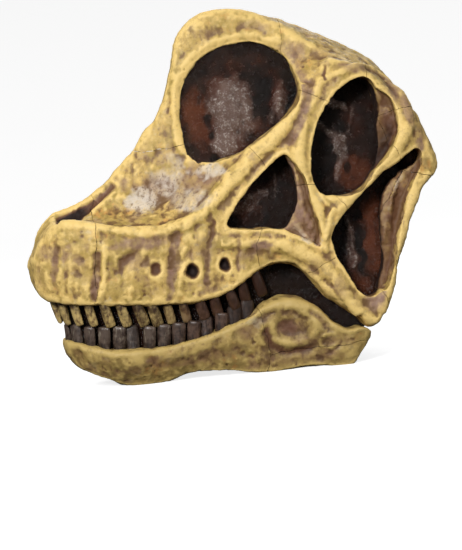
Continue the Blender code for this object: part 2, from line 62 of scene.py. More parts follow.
# The cranium's cross-sections from snout to occiput. top: the crest on the midline.
# rim: the edge between the roof, or the nasal fossa, and the side wall. low: the tooth line,
# then the lower edge of the cheek bar.
#   x, top z, top half-width, rim half-width, rim z, side half-width, low half-width, low z
CRANIUM_SECTIONS = (
    (-0.362, 0.232, 0.004, 0.010, 0.226, 0.012, 0.010, 0.208),
    (-0.355, 0.250, 0.015, 0.036, 0.238, 0.040, 0.034, 0.184),
    (-0.340, 0.280, 0.018, 0.056, 0.262, 0.062, 0.055, 0.164),
    (-0.315, 0.311, 0.018, 0.072, 0.286, 0.080, 0.072, 0.157),
    (-0.280, 0.323, 0.014, 0.087, 0.290, 0.094, 0.086, 0.151),
    (-0.230, 0.348, 0.012, 0.098, 0.280, 0.104, 0.096, 0.146),
    (-0.180, 0.388, 0.012, 0.104, 0.266, 0.108, 0.101, 0.141),
    (-0.130, 0.440, 0.012, 0.106, 0.262, 0.110, 0.104, 0.136),
    (-0.098, 0.483, 0.013, 0.106, 0.268, 0.111, 0.106, 0.135),
    (-0.072, 0.552, 0.016, 0.106, 0.278, 0.112, 0.108, 0.137),
    (-0.055, 0.598, 0.019, 0.106, 0.288, 0.112, 0.108, 0.139),
    (-0.020, 0.630, 0.024, 0.104, 0.318, 0.113, 0.110, 0.149),
    (0.020, 0.641, 0.028, 0.099, 0.360, 0.115, 0.113, 0.172),
    (0.060, 0.640, 0.032, 0.098, 0.395, 0.118, 0.118, 0.187),
    (0.100, 0.628, 0.038, 0.100, 0.432, 0.122, 0.124, 0.178),
    (0.140, 0.613, 0.050, 0.104, 0.475, 0.126, 0.130, 0.131),
    (0.190, 0.590, 0.063, 0.111, 0.508, 0.130, 0.139, 0.085),
    (0.215, 0.577, 0.068, 0.115, 0.506, 0.132, 0.141, 0.061),
    (0.238, 0.564, 0.071, 0.118, 0.498, 0.134, 0.142, 0.076),
    (0.262, 0.550, 0.073, 0.120, 0.484, 0.136, 0.141, 0.150),
    (0.285, 0.533, 0.074, 0.122, 0.464, 0.138, 0.140, 0.213),
    (0.310, 0.505, 0.073, 0.122, 0.442, 0.137, 0.136, 0.266),
    (0.335, 0.461, 0.068, 0.120, 0.414, 0.134, 0.132, 0.298),
    (0.355, 0.404, 0.060, 0.116, 0.376, 0.130, 0.126, 0.312),
    (0.366, 0.366, 0.052, 0.104, 0.352, 0.120, 0.112, 0.326),
)

# The lower jaw's cross-sections: x, top z, top half-width, bottom half-width, bottom z
JAW_SECTIONS = (
    (-0.318, 0.086, 0.008, 0.006, 0.076),
    (-0.312, 0.089, 0.030, 0.024, 0.061),
    (-0.298, 0.086, 0.049, 0.040, 0.045),
    (-0.280, 0.080, 0.064, 0.050, 0.031),
    (-0.250, 0.071, 0.080, 0.060, 0.016),
    (-0.218, 0.065, 0.090, 0.068, 0.001),
    (-0.185, 0.064, 0.095, 0.073, -0.003),
    (-0.150, 0.065, 0.098, 0.077, -0.001),
    (-0.110, 0.068, 0.101, 0.082, 0.011),
    (-0.070, 0.075, 0.104, 0.088, 0.011),
    (-0.030, 0.087, 0.107, 0.094, 0.005),
    (0.005, 0.101, 0.110, 0.100, -0.001),
    (0.036, 0.122, 0.114, 0.105, -0.003),
    (0.065, 0.128, 0.119, 0.110, -0.002),
    (0.097, 0.122, 0.125, 0.115, 0.001),
    (0.125, 0.104, 0.131, 0.120, 0.000),
    (0.150, 0.077, 0.136, 0.126, -0.003),
    (0.175, 0.062, 0.140, 0.130, -0.003),
    (0.194, 0.064, 0.140, 0.131, 0.016),
    (0.208, 0.060, 0.138, 0.130, 0.034),
    (0.216, 0.053, 0.132, 0.126, 0.042),
)

# The rock core's cross-sections: x, top z, top half-width, middle z, middle half-width,
# low z, low half-width, bottom z
ROCK_SECTIONS = (
    (-0.306, 0.240, 0.008, 0.190, 0.022, 0.120, 0.020, 0.078),
    (-0.292, 0.262, 0.010, 0.200, 0.034, 0.120, 0.032, 0.066),
    (-0.265, 0.278, 0.012, 0.215, 0.054, 0.110, 0.050, 0.046),
    (-0.215, 0.300, 0.014, 0.230, 0.066, 0.100, 0.064, 0.033),
    (-0.150, 0.325, 0.012, 0.232, 0.066, 0.095, 0.070, 0.030),
    (-0.095, 0.375, 0.012, 0.245, 0.064, 0.100, 0.074, 0.030),
    (-0.074, 0.490, 0.010, 0.250, 0.050, 0.102, 0.075, 0.030),
    (-0.050, 0.540, 0.016, 0.290, 0.064, 0.105, 0.076, 0.030),
    (-0.010, 0.578, 0.020, 0.330, 0.060, 0.110, 0.078, 0.030),
    (0.050, 0.595, 0.024, 0.360, 0.060, 0.115, 0.080, 0.030),
    (0.100, 0.588, 0.028, 0.370, 0.060, 0.120, 0.083, 0.030),
    (0.150, 0.568, 0.034, 0.380, 0.060, 0.120, 0.088, 0.032),
    (0.200, 0.540, 0.042, 0.380, 0.064, 0.130, 0.092, 0.045),
    (0.245, 0.512, 0.048, 0.370, 0.076, 0.150, 0.094, 0.085),
    (0.285, 0.478, 0.050, 0.350, 0.084, 0.200, 0.090, 0.150),
    (0.305, 0.440, 0.044, 0.355, 0.070, 0.260, 0.070, 0.215),
)

# The openings in the side wall, as closed curves through x, z
NARIS = (
    (-0.059, 0.509), (-0.067, 0.462), (-0.066, 0.405), (-0.050, 0.382), (-0.010, 0.378),
    (0.045, 0.397), (0.104, 0.438), (0.136, 0.476), (0.136, 0.524), (0.114, 0.560),
    (0.060, 0.580), (0.000, 0.571), (-0.038, 0.546),
)
ORBIT = (
    (0.240, 0.496), (0.200, 0.476), (0.168, 0.439), (0.147, 0.393), (0.140, 0.345),
    (0.150, 0.303), (0.185, 0.294), (0.219, 0.300), (0.244, 0.328), (0.262, 0.362),
    (0.268, 0.410), (0.274, 0.452), (0.264, 0.486),
)
ANTORBITAL = (
    (0.100, 0.376), (0.060, 0.352), (0.018, 0.314), (-0.016, 0.268), (0.004, 0.255),
    (0.050, 0.252), (0.084, 0.247), (0.104, 0.272), (0.114, 0.318),
)
INFRATEMPORAL = (
    (0.325, 0.362), (0.268, 0.331), (0.222, 0.294), (0.186, 0.260), (0.163, 0.228),
    (0.170, 0.185), (0.192, 0.140), (0.214, 0.116), (0.238, 0.124), (0.253, 0.170),
    (0.256, 0.220), (0.261, 0.275), (0.286, 0.315), (0.328, 0.340),
)

# Shallow hollows beside the openings: a closed curve through x, z, how far from the midline
# their floor lies, how purple they are stained, and how much they are darkened
HOLLOWS = (
    (((0.099, 0.372), (0.090, 0.330), (0.080, 0.260), (0.086, 0.243), (0.112, 0.228),
      (0.141, 0.211), (0.141, 0.250), (0.131, 0.292), (0.122, 0.335)), 0.104, 1.0, 0.0),
    (((0.262, 0.475), (0.250, 0.420), (0.240, 0.340), (0.262, 0.345), (0.290, 0.378),
      (0.301, 0.415), (0.292, 0.455)), 0.099, 0.6, 0.40),
    (((0.236, 0.140), (0.240, 0.260), (0.268, 0.318), (0.318, 0.352), (0.330, 0.340),
      (0.318, 0.312), (0.300, 0.278), (0.283, 0.232), (0.270, 0.180), (0.250, 0.128)),
     0.112, 0.8, 0.20),
)

# Raised ridges on the side wall: x, z and radius
RIM_RIDGE = (
    (-0.300, 0.291, 0.007), (-0.242, 0.283, 0.009), (-0.180, 0.267, 0.010),
    (-0.123, 0.262, 0.011), (-0.060, 0.283, 0.012), (-0.015, 0.322, 0.013),
    (0.036, 0.365, 0.015), (0.085, 0.404, 0.015), (0.128, 0.446, 0.013), (0.152, 0.492, 0.009),
)
LACRIMAL_RIDGE = (
    (0.180, 0.500, 0.008), (0.160, 0.470, 0.010), (0.136, 0.430, 0.011), (0.124, 0.390, 0.012),
    (0.121, 0.350, 0.012), (0.133, 0.305, 0.011), (0.147, 0.262, 0.010), (0.150, 0.220, 0.009),
)
POSTORBITAL_RIDGE = (
    (0.318, 0.405, 0.010), (0.296, 0.372, 0.012), (0.262, 0.343, 0.012), (0.225, 0.307, 0.012),
    (0.186, 0.276, 0.011), (0.158, 0.245, 0.009),
)
JUGAL_RIDGE = (
    (-0.030, 0.235, 0.008), (0.030, 0.228, 0.011), (0.085, 0.218, 0.013),
    (0.135, 0.184, 0.013), (0.168, 0.142, 0.012), (0.200, 0.088, 0.010),
)
BROW_RIDGE = (
    (0.165, 0.490, 0.006), (0.205, 0.506, 0.006), (0.250, 0.514, 0.006),
    (0.292, 0.488, 0.007), (0.314, 0.448, 0.009), (0.322, 0.410, 0.009),
)
QUADRATE_RIDGE = (
    (0.345, 0.322, 0.009), (0.318, 0.290, 0.009), (0.297, 0.252, 0.009),
    (0.278, 0.212, 0.009), (0.263, 0.172, 0.009), (0.251, 0.128, 0.009), (0.232, 0.086, 0.010),
)

# The braincase as ball shapes: centre x, y, z, then radii x, y, z
BRAINCASE_BALLS = (
    (0.312, 0.000, 0.372, 0.030, 0.056, 0.046),
    (0.316, 0.000, 0.318, 0.030, 0.034, 0.034),
    (0.322, 0.050, 0.350, 0.020, 0.056, 0.026),
    (0.322, -0.050, 0.350, 0.020, 0.056, 0.026),
    (0.338, 0.000, 0.290, 0.022, 0.021, 0.020),
    (0.312, 0.016, 0.256, 0.016, 0.014, 0.028),
    (0.312, -0.016, 0.256, 0.016, 0.014, 0.028),
)
SPINAL_HOLE = (0.345, 0.000, 0.324, 0.030, 0.013, 0.012)

# The arch between the two quadrates at the back: half-width and z from its top down
OCCIPUT_ARCH = (
    (0.030, 0.432), (0.062, 0.415), (0.082, 0.380), (0.088, 0.330), (0.090, 0.250),
    (0.094, 0.150), (0.096, 0.020),
)
OCCIPUT_FRONT = 0.195

# The open floor of the mouth: how thick the jaw stays beside it, and its x, half-width as a
# share of the room there, and top z from front to back
JAW_WALL = 0.030
MOUTH_FLOOR = (
    (-0.205, 0.30, 0.030), (-0.165, 0.80, 0.034), (-0.130, 1.00, 0.034), (0.000, 1.00, 0.034),
    (0.172, 1.00, 0.034), (0.180, 1.00, 0.200), (0.250, 1.00, 0.200),
)

# Where the tooth rows run in plan, from the midline at the front to the last tooth: x, y
UPPER_ROW = (
    (-0.327, 0.000), (-0.322, 0.024), (-0.307, 0.047), (-0.284, 0.066), (-0.250, 0.079),
    (-0.190, 0.087), (-0.120, 0.090), (-0.060, 0.094), (-0.010, 0.098), (0.036, 0.100),
)
LOWER_ROW = (
    (-0.305, 0.000), (-0.301, 0.021), (-0.287, 0.041), (-0.263, 0.056), (-0.227, 0.068),
    (-0.170, 0.078), (-0.110, 0.083), (-0.055, 0.087), (-0.010, 0.091), (0.018, 0.093),
)

# Where upper and lower teeth meet: x and z
BITE = (
    (-0.345, 0.122), (-0.300, 0.116), (-0.257, 0.109), (-0.160, 0.102), (-0.110, 0.101),
    (-0.058, 0.107), (-0.020, 0.117), (0.040, 0.142),
)

# How deep a tooth is rooted, how far its tip passes the line of the bite, and its thickness as
# a share of the spacing
TOOTH_ROOT = 0.014
TIP_OVERLAP = 0.003
TOOTH_THICKNESS = 0.62


class ToothRow(NamedTuple):
    path: tuple
    count: int          # teeth on each side
    tip_shift: float    # of the tips from the line of the bite
    down: float         # 1 where the teeth point down
    lean: float         # forward, in radians
    width: float        # as a share of the spacing
    seed: int


UPPER_TEETH = ToothRow(UPPER_ROW, 15, -TIP_OVERLAP, 1.0, 0.22, 0.70, 3)
LOWER_TEETH = ToothRow(LOWER_ROW, 14, TIP_OVERLAP, 0.0, 0.08, 0.97, 5)

# Middles of the bones on the side wall: bone, x, z, and a weight in square metres that moves
# its sutures outwards. A bent bone has two middles.
CRANIUM_BONES = (
    ("premaxilla", -0.3475, 0.240, 0.000),
    ("maxilla", -0.110, 0.215, 0.010),
    ("maxilla", 0.000, 0.320, 0.000),
    ("nasal", -0.020, 0.560, 0.012),
    ("frontal", 0.205, 0.540, 0.000),
    ("parietal", 0.315, 0.520, 0.000),
    ("lacrimal", 0.120, 0.400, 0.000),
    ("jugal", 0.128, 0.240, 0.000),
    ("postorbital", 0.245, 0.325, 0.000),
    ("quadratojugal", 0.180, 0.130, 0.000),
    ("squamosal", 0.350, 0.360, 0.000),
    ("quadrate", 0.275, 0.170, 0.000),
    ("quadrate", 0.320, 0.270, 0.000),
)
JAW_BONES = (
    ("dentary", -0.080, 0.050, 0.005),
    ("surangular", 0.120, 0.085, 0.000),
    ("angular", 0.125, -0.015, 0.000),
)

# How far two cells of one bone overlap
SEAM_OVERLAP = 0.0005

# A ridge's bar as shares of the radius in its table: its own radius, and how deep its middle lies
RIDGE_GROWN = 1.45
RIDGE_SUNK = 0.85

# Limits between which the skin passes from roof to side wall, by how far its normal looks
# sideways, from outer to inner skin, and from unshaded to painted shade, by the depth in the wall
SIDEWAYS = (0.25, 0.60)
SKIN_DEPTH = (0.034, 0.040)
PAINTED_SHADE_DEPTH = (0.024, 0.042)

# Unevenness of the bone's skin: height, size, octaves, and where in the noise it is read
BONE_LUMPS = ((0.0028, 0.042, 2, 0.0), (0.0011, 0.013, 3, 3.0))

SHARP_ANGLE = math.radians(50)

# The numbers that the bones' points keep: relief, stains, and painted shade
STAINS_AND_SHADES = ("grit", "hollow", "dark", "deep", "purple", "pale")

# Strokes cut into the side walls of the cranium, or raised where their depth is below zero:
# path through x, z, then half-width, depth, and how purple (below zero: how pale) and how dark
# the stroke is stained
CRANIUM_STROKES = (
    (((-0.108, 0.258), (-0.119, 0.212), (-0.129, 0.150)), 0.009, 0.0026, 1.0, 0.12),
    (((-0.046, 0.262), (-0.056, 0.217), (-0.064, 0.169)), 0.007, 0.0020, 0.9, 0.18),
    (((-0.001, 0.235), (-0.004, 0.185)), 0.005, 0.0014, 0.6, 0.2),
    (((-0.246, 0.238), (-0.252, 0.204), (-0.261, 0.161)), 0.008, 0.0034, 1.0, 0.24),
    (((-0.314, 0.252), (-0.321, 0.218), (-0.325, 0.180)), 0.009, 0.0028, 0.9, 0.24),
    (((-0.296, 0.246), (-0.301, 0.206), (-0.304, 0.176)), 0.005, 0.0014, 0.3, 0.2),
    (((-0.277, 0.232), (-0.283, 0.205)), 0.010, 0.0020, 0.5, 0.2),
    (((-0.172, 0.243), (-0.195, 0.226), (-0.214, 0.207)), 0.012, 0.0034, 0.5, 0.35),
    (((-0.165, 0.196), (-0.172, 0.160)), 0.009, 0.0016, 0.3, 0.15),
    (((-0.212, 0.190), (-0.218, 0.155)), 0.010, 0.0012, 0.2, 0.1),
    (((-0.038, 0.272), (-0.044, 0.246)), 0.005, 0.0030, 0.5, 0.6),
    (((0.183, 0.524), (0.179, 0.500)), 0.004, 0.0020, 0.8, 0.5),
    (((0.156, 0.490), (0.142, 0.455), (0.124, 0.424), (0.112, 0.398)), 0.012, 0.0030, 1.0, 0.05),
    (((0.290, 0.305), (0.276, 0.270), (0.268, 0.228)), 0.005, -0.0030, 1.0, 0.0),
    (((0.166, 0.266), (0.154, 0.236), (0.147, 0.206)), 0.006, -0.0030, 0.0, 0.0),
    (((0.170, 0.272), (0.156, 0.286), (0.150, 0.302)), 0.005, -0.0026, 0.0, 0.0),
    (((-0.232, 0.250), (-0.238, 0.206), (-0.246, 0.162)), 0.006, -0.0026, 0.0, 0.0),
    (((-0.096, 0.232), (-0.104, 0.200), (-0.112, 0.155)), 0.006, -0.0018, 0.0, 0.0),
    (((-0.190, 0.200), (-0.197, 0.158)), 0.006, -0.0014, 0.0, 0.0),
    (((-0.145, 0.180), (-0.149, 0.150)), 0.006, -0.0012, 0.0, 0.0),
    (((-0.074, 0.400), (-0.078, 0.455), (-0.070, 0.512), (-0.048, 0.556), (-0.004, 0.584),
      (0.060, 0.594), (0.116, 0.576)), 0.008, -0.0030, 0.0, 0.0),
    (((0.100, 0.268), (0.110, 0.248), (0.130, 0.222)), 0.006, -0.0034, -0.8, 0.0),
    (((0.118, 0.312), (0.120, 0.284), (0.134, 0.246)), 0.005, -0.0030, -0.7, 0.0),
    (((0.290, 0.436), (0.294, 0.412), (0.286, 0.385)), 0.006, -0.0024, -0.5, 0.0),
    (((0.304, 0.318), (0.286, 0.296), (0.272, 0.262)), 0.005, -0.0034, -1.0, 0.0),
    (((0.266, 0.252), (0.258, 0.215), (0.252, 0.180)), 0.004, -0.0030, -0.8, 0.0),
    (((0.318, 0.480), (0.335, 0.430), (0.345, 0.380)), 0.012, 0.0004, 0.3, 0.24),
    (((0.120, 0.192), (0.160, 0.158), (0.190, 0.105)), 0.013, 0.0004, 0.1, 0.24),
    (((0.296, 0.560), (0.240, 0.570), (0.190, 0.580)), 0.010, 0.0006, 0.5, 0.15),
)

# Blood vessel holes: x, z, radius, depth and how dark, the dark being painted shade in the pit
FORAMINA = (
    (-0.150, 0.201, 0.0120, 0.004, 0.55),
    (-0.086, 0.192, 0.0125, 0.012, 1.0),
    (-0.028, 0.198, 0.0115, 0.012, 1.0),
)

# Broad sinkings of the wall, as in the hollow in front of the nostril: x, z, radius along x,
# radius along z, depth
SINKS = (
    (-0.205, 0.303, 0.080, 0.026, 0.006),
    (-0.120, 0.330, 0.060, 0.045, 0.007),
    (-0.055, 0.342, 0.045, 0.030, 0.004),
    (0.035, 0.218, 0.030, 0.018, 0.002),
)

# The narrow front end of the bony nostril, under the bar on the midline
NOSTRIL_SLIT = (
    (-0.298, 0.300), (-0.276, 0.307), (-0.252, 0.318), (-0.229, 0.331), (-0.202, 0.350),
)

# Stained and bleached patches: x, z, radius along x, radius along z, strength
PURPLE_PATCHES = (
    (0.033, 0.222, 0.026, 0.018, 1.0),
    (0.002, 0.207, 0.014, 0.018, 0.7),
    (0.143, 0.500, 0.018, 0.050, 0.9),
    (0.132, 0.552, 0.040, 0.026, 0.8),
    (0.080, 0.606, 0.050, 0.014, 0.6),
    (-0.010, 0.600, 0.040, 0.012, 0.5),
    (0.190, 0.548, 0.040, 0.018, 0.5),
    (0.288, 0.420, 0.012, 0.034, 1.0),
    (0.276, 0.262, 0.020, 0.055, 0.8),
    (-0.055, 0.360, 0.022, 0.035, 0.7),
    (-0.085, 0.330, 0.050, 0.030, 0.5),
    (-0.125, 0.342, 0.045, 0.032, 0.8),
    (0.118, 0.168, 0.016, 0.014, 0.5),
    (0.224, 0.112, 0.024, 0.036, 1.0),
    (-0.165, 0.250, 0.070, 0.016, 0.9),
    (-0.185, 0.222, 0.034, 0.028, 0.6),
    (-0.330, 0.250, 0.026, 0.020, 0.7),
    (-0.285, 0.225, 0.030, 0.030, 0.4),
    (-0.055, 0.232, 0.030, 0.030, 0.5),
    (-0.125, 0.200, 0.016, 0.060, 0.4),
    (0.240, 0.518, 0.060, 0.016, 0.7),
    (0.185, 0.530, 0.014, 0.030, 0.6),
    (-0.345, 0.215, 0.016, 0.040, 0.5),
    (-0.150, 0.165, 0.090, 0.010, 0.4),
    (0.305, 0.470, 0.020, 0.040, 0.8),
    (0.322, 0.430, 0.016, 0.050, 0.8),
    (0.332, 0.370, 0.012, 0.016, 1.0),
    (0.166, 0.134, 0.012, 0.034, 0.6),
    (-0.060, 0.345, 0.060, 0.024, 0.8),
    (0.345, 0.340, 0.016, 0.020, 0.5),
    (0.240, 0.285, 0.014, 0.016, 0.4),
    (0.338, 0.395, 0.016, 0.040, 0.5),
    (-0.090, 0.430, 0.016, 0.040, 0.4),
)
PALE_PATCHES = (
    (-0.152, 0.326, 0.044, 0.030, 1.0),
    (-0.112, 0.350, 0.050, 0.040, 0.85),
    (-0.035, 0.362, 0.055, 0.018, 0.9),
    (-0.088, 0.378, 0.020, 0.030, 0.7),
    (-0.070, 0.318, 0.060, 0.034, 0.75),
    (-0.190, 0.300, 0.030, 0.012, 0.4),
    (-0.240, 0.252, 0.022, 0.008, 0.5),
    (0.112, 0.240, 0.016, 0.024, 0.9),
    (0.132, 0.225, 0.012, 0.014, 0.7),
)

# The oval ring on the side of the lower jaw, and the small one behind it: x, z, radius along
# x, radius along z
JAW_RINGS = ((0.080, 0.076, 0.044, 0.034), (0.140, 0.046, 0.018, 0.014))
JAW_STROKES = (
    # The first stroke is a groove under the ring's front and lower edge: its purple is a stain, its
    # darkness a painted shadow
    (((0.034, 0.072), (0.042, 0.046), (0.070, 0.032), (0.104, 0.036)), 0.009, 0.0034, 0.6, 0.45),
    (((0.154, 0.050), (0.154, 0.036), (0.140, 0.026)), 0.005, 0.0016, 0.6, 0.2),
    (((0.062, 0.080), (0.092, 0.070)), 0.013, 0.0010, 0.5, 0.32),
    (((0.116, 0.098), (0.134, 0.078), (0.140, 0.062)), 0.008, 0.0020, 0.7, 0.15),
    (((-0.296, 0.070), (-0.288, 0.040), (-0.262, 0.020)), 0.012, 0.0020, 0.5, 0.3),
    (((-0.170, 0.040), (-0.090, 0.036), (-0.020, 0.044)), 0.014, 0.0026, 0.7, 0.15),
    (((-0.010, 0.034), (0.004, 0.030)), 0.006, 0.0018, 0.2, 0.5),
    (((-0.285, 0.074), (-0.240, 0.060), (-0.180, 0.056)), 0.006, -0.0020, 0.0, 0.0),
    (((0.014, 0.104), (0.040, 0.112), (0.076, 0.113), (0.104, 0.098)), 0.007, -0.0018, 0.0, 0.0),
)
JAW_PURPLE = (
    (0.072, 0.072, 0.028, 0.022, 1.0),
    (0.100, 0.050, 0.030, 0.016, 0.7),
    (-0.120, 0.058, 0.060, 0.010, 0.4),
    (0.060, 0.020, 0.050, 0.014, 0.6),
    (0.000, 0.074, 0.030, 0.020, 0.6),
    (-0.020, 0.052, 0.022, 0.014, 0.5),
    (-0.200, 0.030, 0.050, 0.014, 0.6),
    (0.120, 0.020, 0.060, 0.016, 0.6),
    (0.170, 0.040, 0.020, 0.014, 0.5),
)
# Pale patches on the jaw, most along its top edge and on the top of the ring: painted highlights
JAW_PALES_AND_HIGHLIGHTS = (
    (-0.255, 0.066, 0.040, 0.005, 0.5),
    (-0.060, 0.070, 0.050, 0.012, 0.5),
    (0.010, 0.092, 0.026, 0.014, 0.7),
    (0.095, 0.100, 0.018, 0.012, 0.5),
)

# Swellings of the rock, as of bone casts that lie in it: x, z, radius along x, radius along z,
# height
ROCK_SWELLINGS = (
    (0.018, 0.465, 0.052, 0.080, 0.026),
    (0.002, 0.406, 0.030, 0.026, 0.008),
    (0.108, 0.468, 0.020, 0.050, 0.016),
    (0.030, 0.300, 0.050, 0.032, 0.010),
    (0.205, 0.200, 0.014, 0.060, 0.012),
    (0.246, 0.220, 0.014, 0.075, 0.010),
    (0.225, 0.380, 0.050, 0.080, 0.006),
)

# Reddish brown and lilac grey parts of the rock: x, z, radius along x, radius along z, strength
RUSSET_PATCHES = (
    (-0.038, 0.455, 0.035, 0.075, 1.0),
    (0.070, 0.430, 0.040, 0.040, 0.6),
    (0.060, 0.545, 0.060, 0.030, 0.5),
    (0.225, 0.330, 0.050, 0.040, 0.9),
    (0.245, 0.215, 0.030, 0.110, 1.0),
    (0.215, 0.130, 0.040, 0.040, 0.8),
    (0.060, 0.330, 0.030, 0.040, 0.4),
)
# The lilac grey parts are partly the rock's own tint and partly painted glints, where light catches the
# glossy rock
LILAC_AND_GLINT_PATCHES = (
    (0.022, 0.462, 0.056, 0.080, 1.0),
    (0.002, 0.408, 0.032, 0.034, 1.0),
    (0.110, 0.465, 0.020, 0.045, 0.8),
    (0.208, 0.455, 0.022, 0.014, 1.0),
    (0.205, 0.375, 0.018, 0.050, 0.7),
    (0.030, 0.300, 0.045, 0.030, 0.6),
    (0.204, 0.200, 0.020, 0.060, 0.6),
)

# Soft ridges on the rock, as of struts that lie in it: path through x, z, then half-width,
# height and how lilac they are
ROCK_RIDGES = (
    (((0.170, 0.425), (0.190, 0.402), (0.214, 0.390)), 0.012, 0.006, 0.7),
    (((0.214, 0.390), (0.206, 0.362), (0.197, 0.325)), 0.013, 0.007, 0.8),
    (((0.214, 0.390), (0.232, 0.420), (0.240, 0.452)), 0.010, 0.004, 0.5),
    (((0.192, 0.470), (0.220, 0.447)), 0.013, 0.006, 1.0),
    (((0.202, 0.250), (0.207, 0.205), (0.204, 0.165)), 0.009, 0.006, 0.8),
    (((0.226, 0.240), (0.232, 0.200), (0.230, 0.160)), 0.009, 0.004, 0.3),
    (((0.000, 0.285), (0.032, 0.304), (0.062, 0.312)), 0.012, 0.005, 0.7),
    (((0.075, 0.300), (0.085, 0.330), (0.080, 0.350)), 0.010, 0.004, 0.5),
    (((0.092, 0.440), (0.102, 0.470), (0.112, 0.500)), 0.012, 0.005, 0.6),
)


class Noise:
    """Smooth random values from -1 to 1 in space, from a fixed lattice."""

    def __init__(self, seed, side=32):
        self.side = side
        self.lattice = np.random.default_rng(seed).uniform(-1, 1, side**3)

    def at(self, points, size, stretch=(1, 1, 1)):
        place = points / (size * np.array(stretch)) + 100.0
        low = np.floor(place).astype(np.int64)
        part = place - low
        part = part * part * (3 - 2 * part)
        total = np.zeros(len(points))
        for corner in range(8):
            pick = np.array((corner & 1, corner >> 1 & 1, corner >> 2))
            cell = (low + pick) % self.side
            index = (cell[:, 0] * self.side + cell[:, 1]) * self.side + cell[:, 2]
            share = np.prod(np.where(pick, part, 1 - part), axis=1)
            total += self.lattice[index] * share
        return total

    def rugged(self, points, size, octaves=3, stretch=(1, 1, 1)):
        """Octaves of the noise, each half as big and half as strong as the one before."""
        total = np.zeros(len(points))
        for octave in range(octaves):
            total += self.at(points, size / 2**octave, stretch) / 2**octave
        return total


def smooth_path(points, steps, closed=False):
    """Points along a Catmull-Rom curve through the given ones, with steps to each span."""
    given = np.array(points, float)
    count = len(given)
    made = []
    for i in range(count if closed else count - 1):
        near = [i + k - 1 for k in range(4)]
        if closed:
            near = [n % count for n in near]
        a, b, c, d = (given[min(max(n, 0), count - 1)] for n in near)
        for t in np.arange(steps) / steps:
            line = 2 * b + (c - a) * t
            bend = (2 * a - 5 * b + 4 * c - d) * t**2 + (3 * b - a - 3 * c + d) * t**3
            made.append((line + bend) / 2)
    if not closed:
        made.append(given[-1])
    return np.array(made)


def new_object(name, data):
    obj = bpy.data.objects.new(name, data)
    bpy.context.scene.collection.objects.link(obj)
    return obj


def object_from(name, mesh):
    """An object from mesh code's own mesh, which it frees."""
    data = bpy.data.meshes.new(name)
    mesh.to_mesh(data)
    mesh.free()
    return new_object(name, data)


def loft(name, rings):
    """A closed body through rings of points, all with the same count."""
    mesh = bmesh.new()
    loops = [[mesh.verts.new(point) for point in ring] for ring in rings]
    count = len(loops[0])
    for near, far in zip(loops, loops[1:]):
        for i in range(count):
            j = (i + 1) % count
            mesh.faces.new((near[i], near[j], far[j], far[i]))
    mesh.faces.new(loops[0])
    mesh.faces.new(loops[-1])
    bmesh.ops.recalc_face_normals(mesh, faces=mesh.faces)
    return object_from(name, mesh)


def ball(name, centre, radii):
    mesh = bmesh.new()
    bmesh.ops.create_uvsphere(mesh, u_segments=32, v_segments=16, radius=1.0)
    bmesh.ops.scale(mesh, vec=radii, verts=mesh.verts)
    bmesh.ops.translate(mesh, vec=centre, verts=mesh.verts)
    return object_from(name, mesh)


def join(name, objects):
    """One object that holds the meshes of all of them, which it removes."""
    mesh = bmesh.new()
    for obj in objects:
        mesh.from_mesh(obj.data)
        bpy.data.objects.remove(obj)
    return object_from(name, mesh)


def apply_modifiers(obj):
    """Puts the evaluated mesh in place of the object's own."""
    graph = bpy.context.evaluated_depsgraph_get()
    made = bpy.data.meshes.new_from_object(obj.evaluated_get(graph))
    obj.modifiers.clear()
    obj.data = made
    return obj


def boolean(obj, operation, other):
    modifier = obj.modifiers.new(operation.title(), "BOOLEAN")
    modifier.operation = operation
    modifier.object = other
    modifier.solver = "MANIFOLD"
    return apply_modifiers(obj)


def cut_away(obj, cutters):
    for cutter in cutters:
        boolean(obj, "DIFFERENCE", cutter)
        bpy.data.objects.remove(cutter)
    return obj


def fuse(obj, voxel, passes):
    """Melts overlapping bodies into one skin with rounded edges."""
    remesh = obj.modifiers.new("Fuse", "REMESH")
    remesh.mode = "VOXEL"
    remesh.voxel_size = voxel
    soften = obj.modifiers.new("Soften", "SMOOTH")
    soften.factor = 0.5
    soften.iterations = passes
    return apply_modifiers(obj)


def swollen(obj, distance):
    """A helper copy of the body, grown by distance."""
    copy = new_object(obj.name + "_grown", obj.data.copy())
    grow = copy.modifiers.new("Grow", "DISPLACE")
    grow.strength = distance
    grow.mid_level = 0.0
    return apply_modifiers(copy)


def cranium_profile(section):
    """The cranium's outline on one side at one station, as (half-width, z)."""
    _, top_z, top_w, rim_w, rim_z, side_w, low_w, low_z = section
    height = rim_z - low_z
    slope_w = (top_w + rim_w) / 2
    slope_z = (top_z + rim_z) / 2
    hollow = 0.10 * (top_z - rim_z)
    corner = min(0.012, low_w / 2)
    return (
        (0.0, top_z),
        (top_w, top_z - 0.5 * top_w),
        (slope_w - hollow, slope_z - hollow),
        (rim_w, rim_z),
        (side_w, rim_z - 0.40 * height),
        (low_w + 0.003, low_z + 0.12 * height),
        (low_w - corner, low_z),
        (0.0, low_z + 0.004),
    )


def jaw_profile(section):
    _, top_z, top_w, bottom_w, bottom_z = section
    height = top_z - bottom_z
    corner = min(0.010, top_w / 2)
    return (
        (0.0, top_z - 0.002),
        (top_w - corner, top_z),
        (top_w, top_z - 0.2 * height),
        ((top_w + bottom_w) / 2 + 0.003, bottom_z + 0.45 * height),
        (bottom_w + 0.001, bottom_z + 0.12 * height),
        (bottom_w - corner, bottom_z),
        (0.0, bottom_z),
    )


def rock_profile(section):
    _, top_z, top_w, middle_z, middle_w, low_z, low_w, bottom_z = section
    return (
        (0.0, top_z),
        (top_w, top_z - 0.006),
        (0.45 * top_w + 0.55 * middle_w, 0.45 * top_z + 0.55 * middle_z),
        (middle_w, middle_z),
        (low_w, low_z),
        (low_w - 0.012, bottom_z + 0.006),
        (0.0, bottom_z),
    )


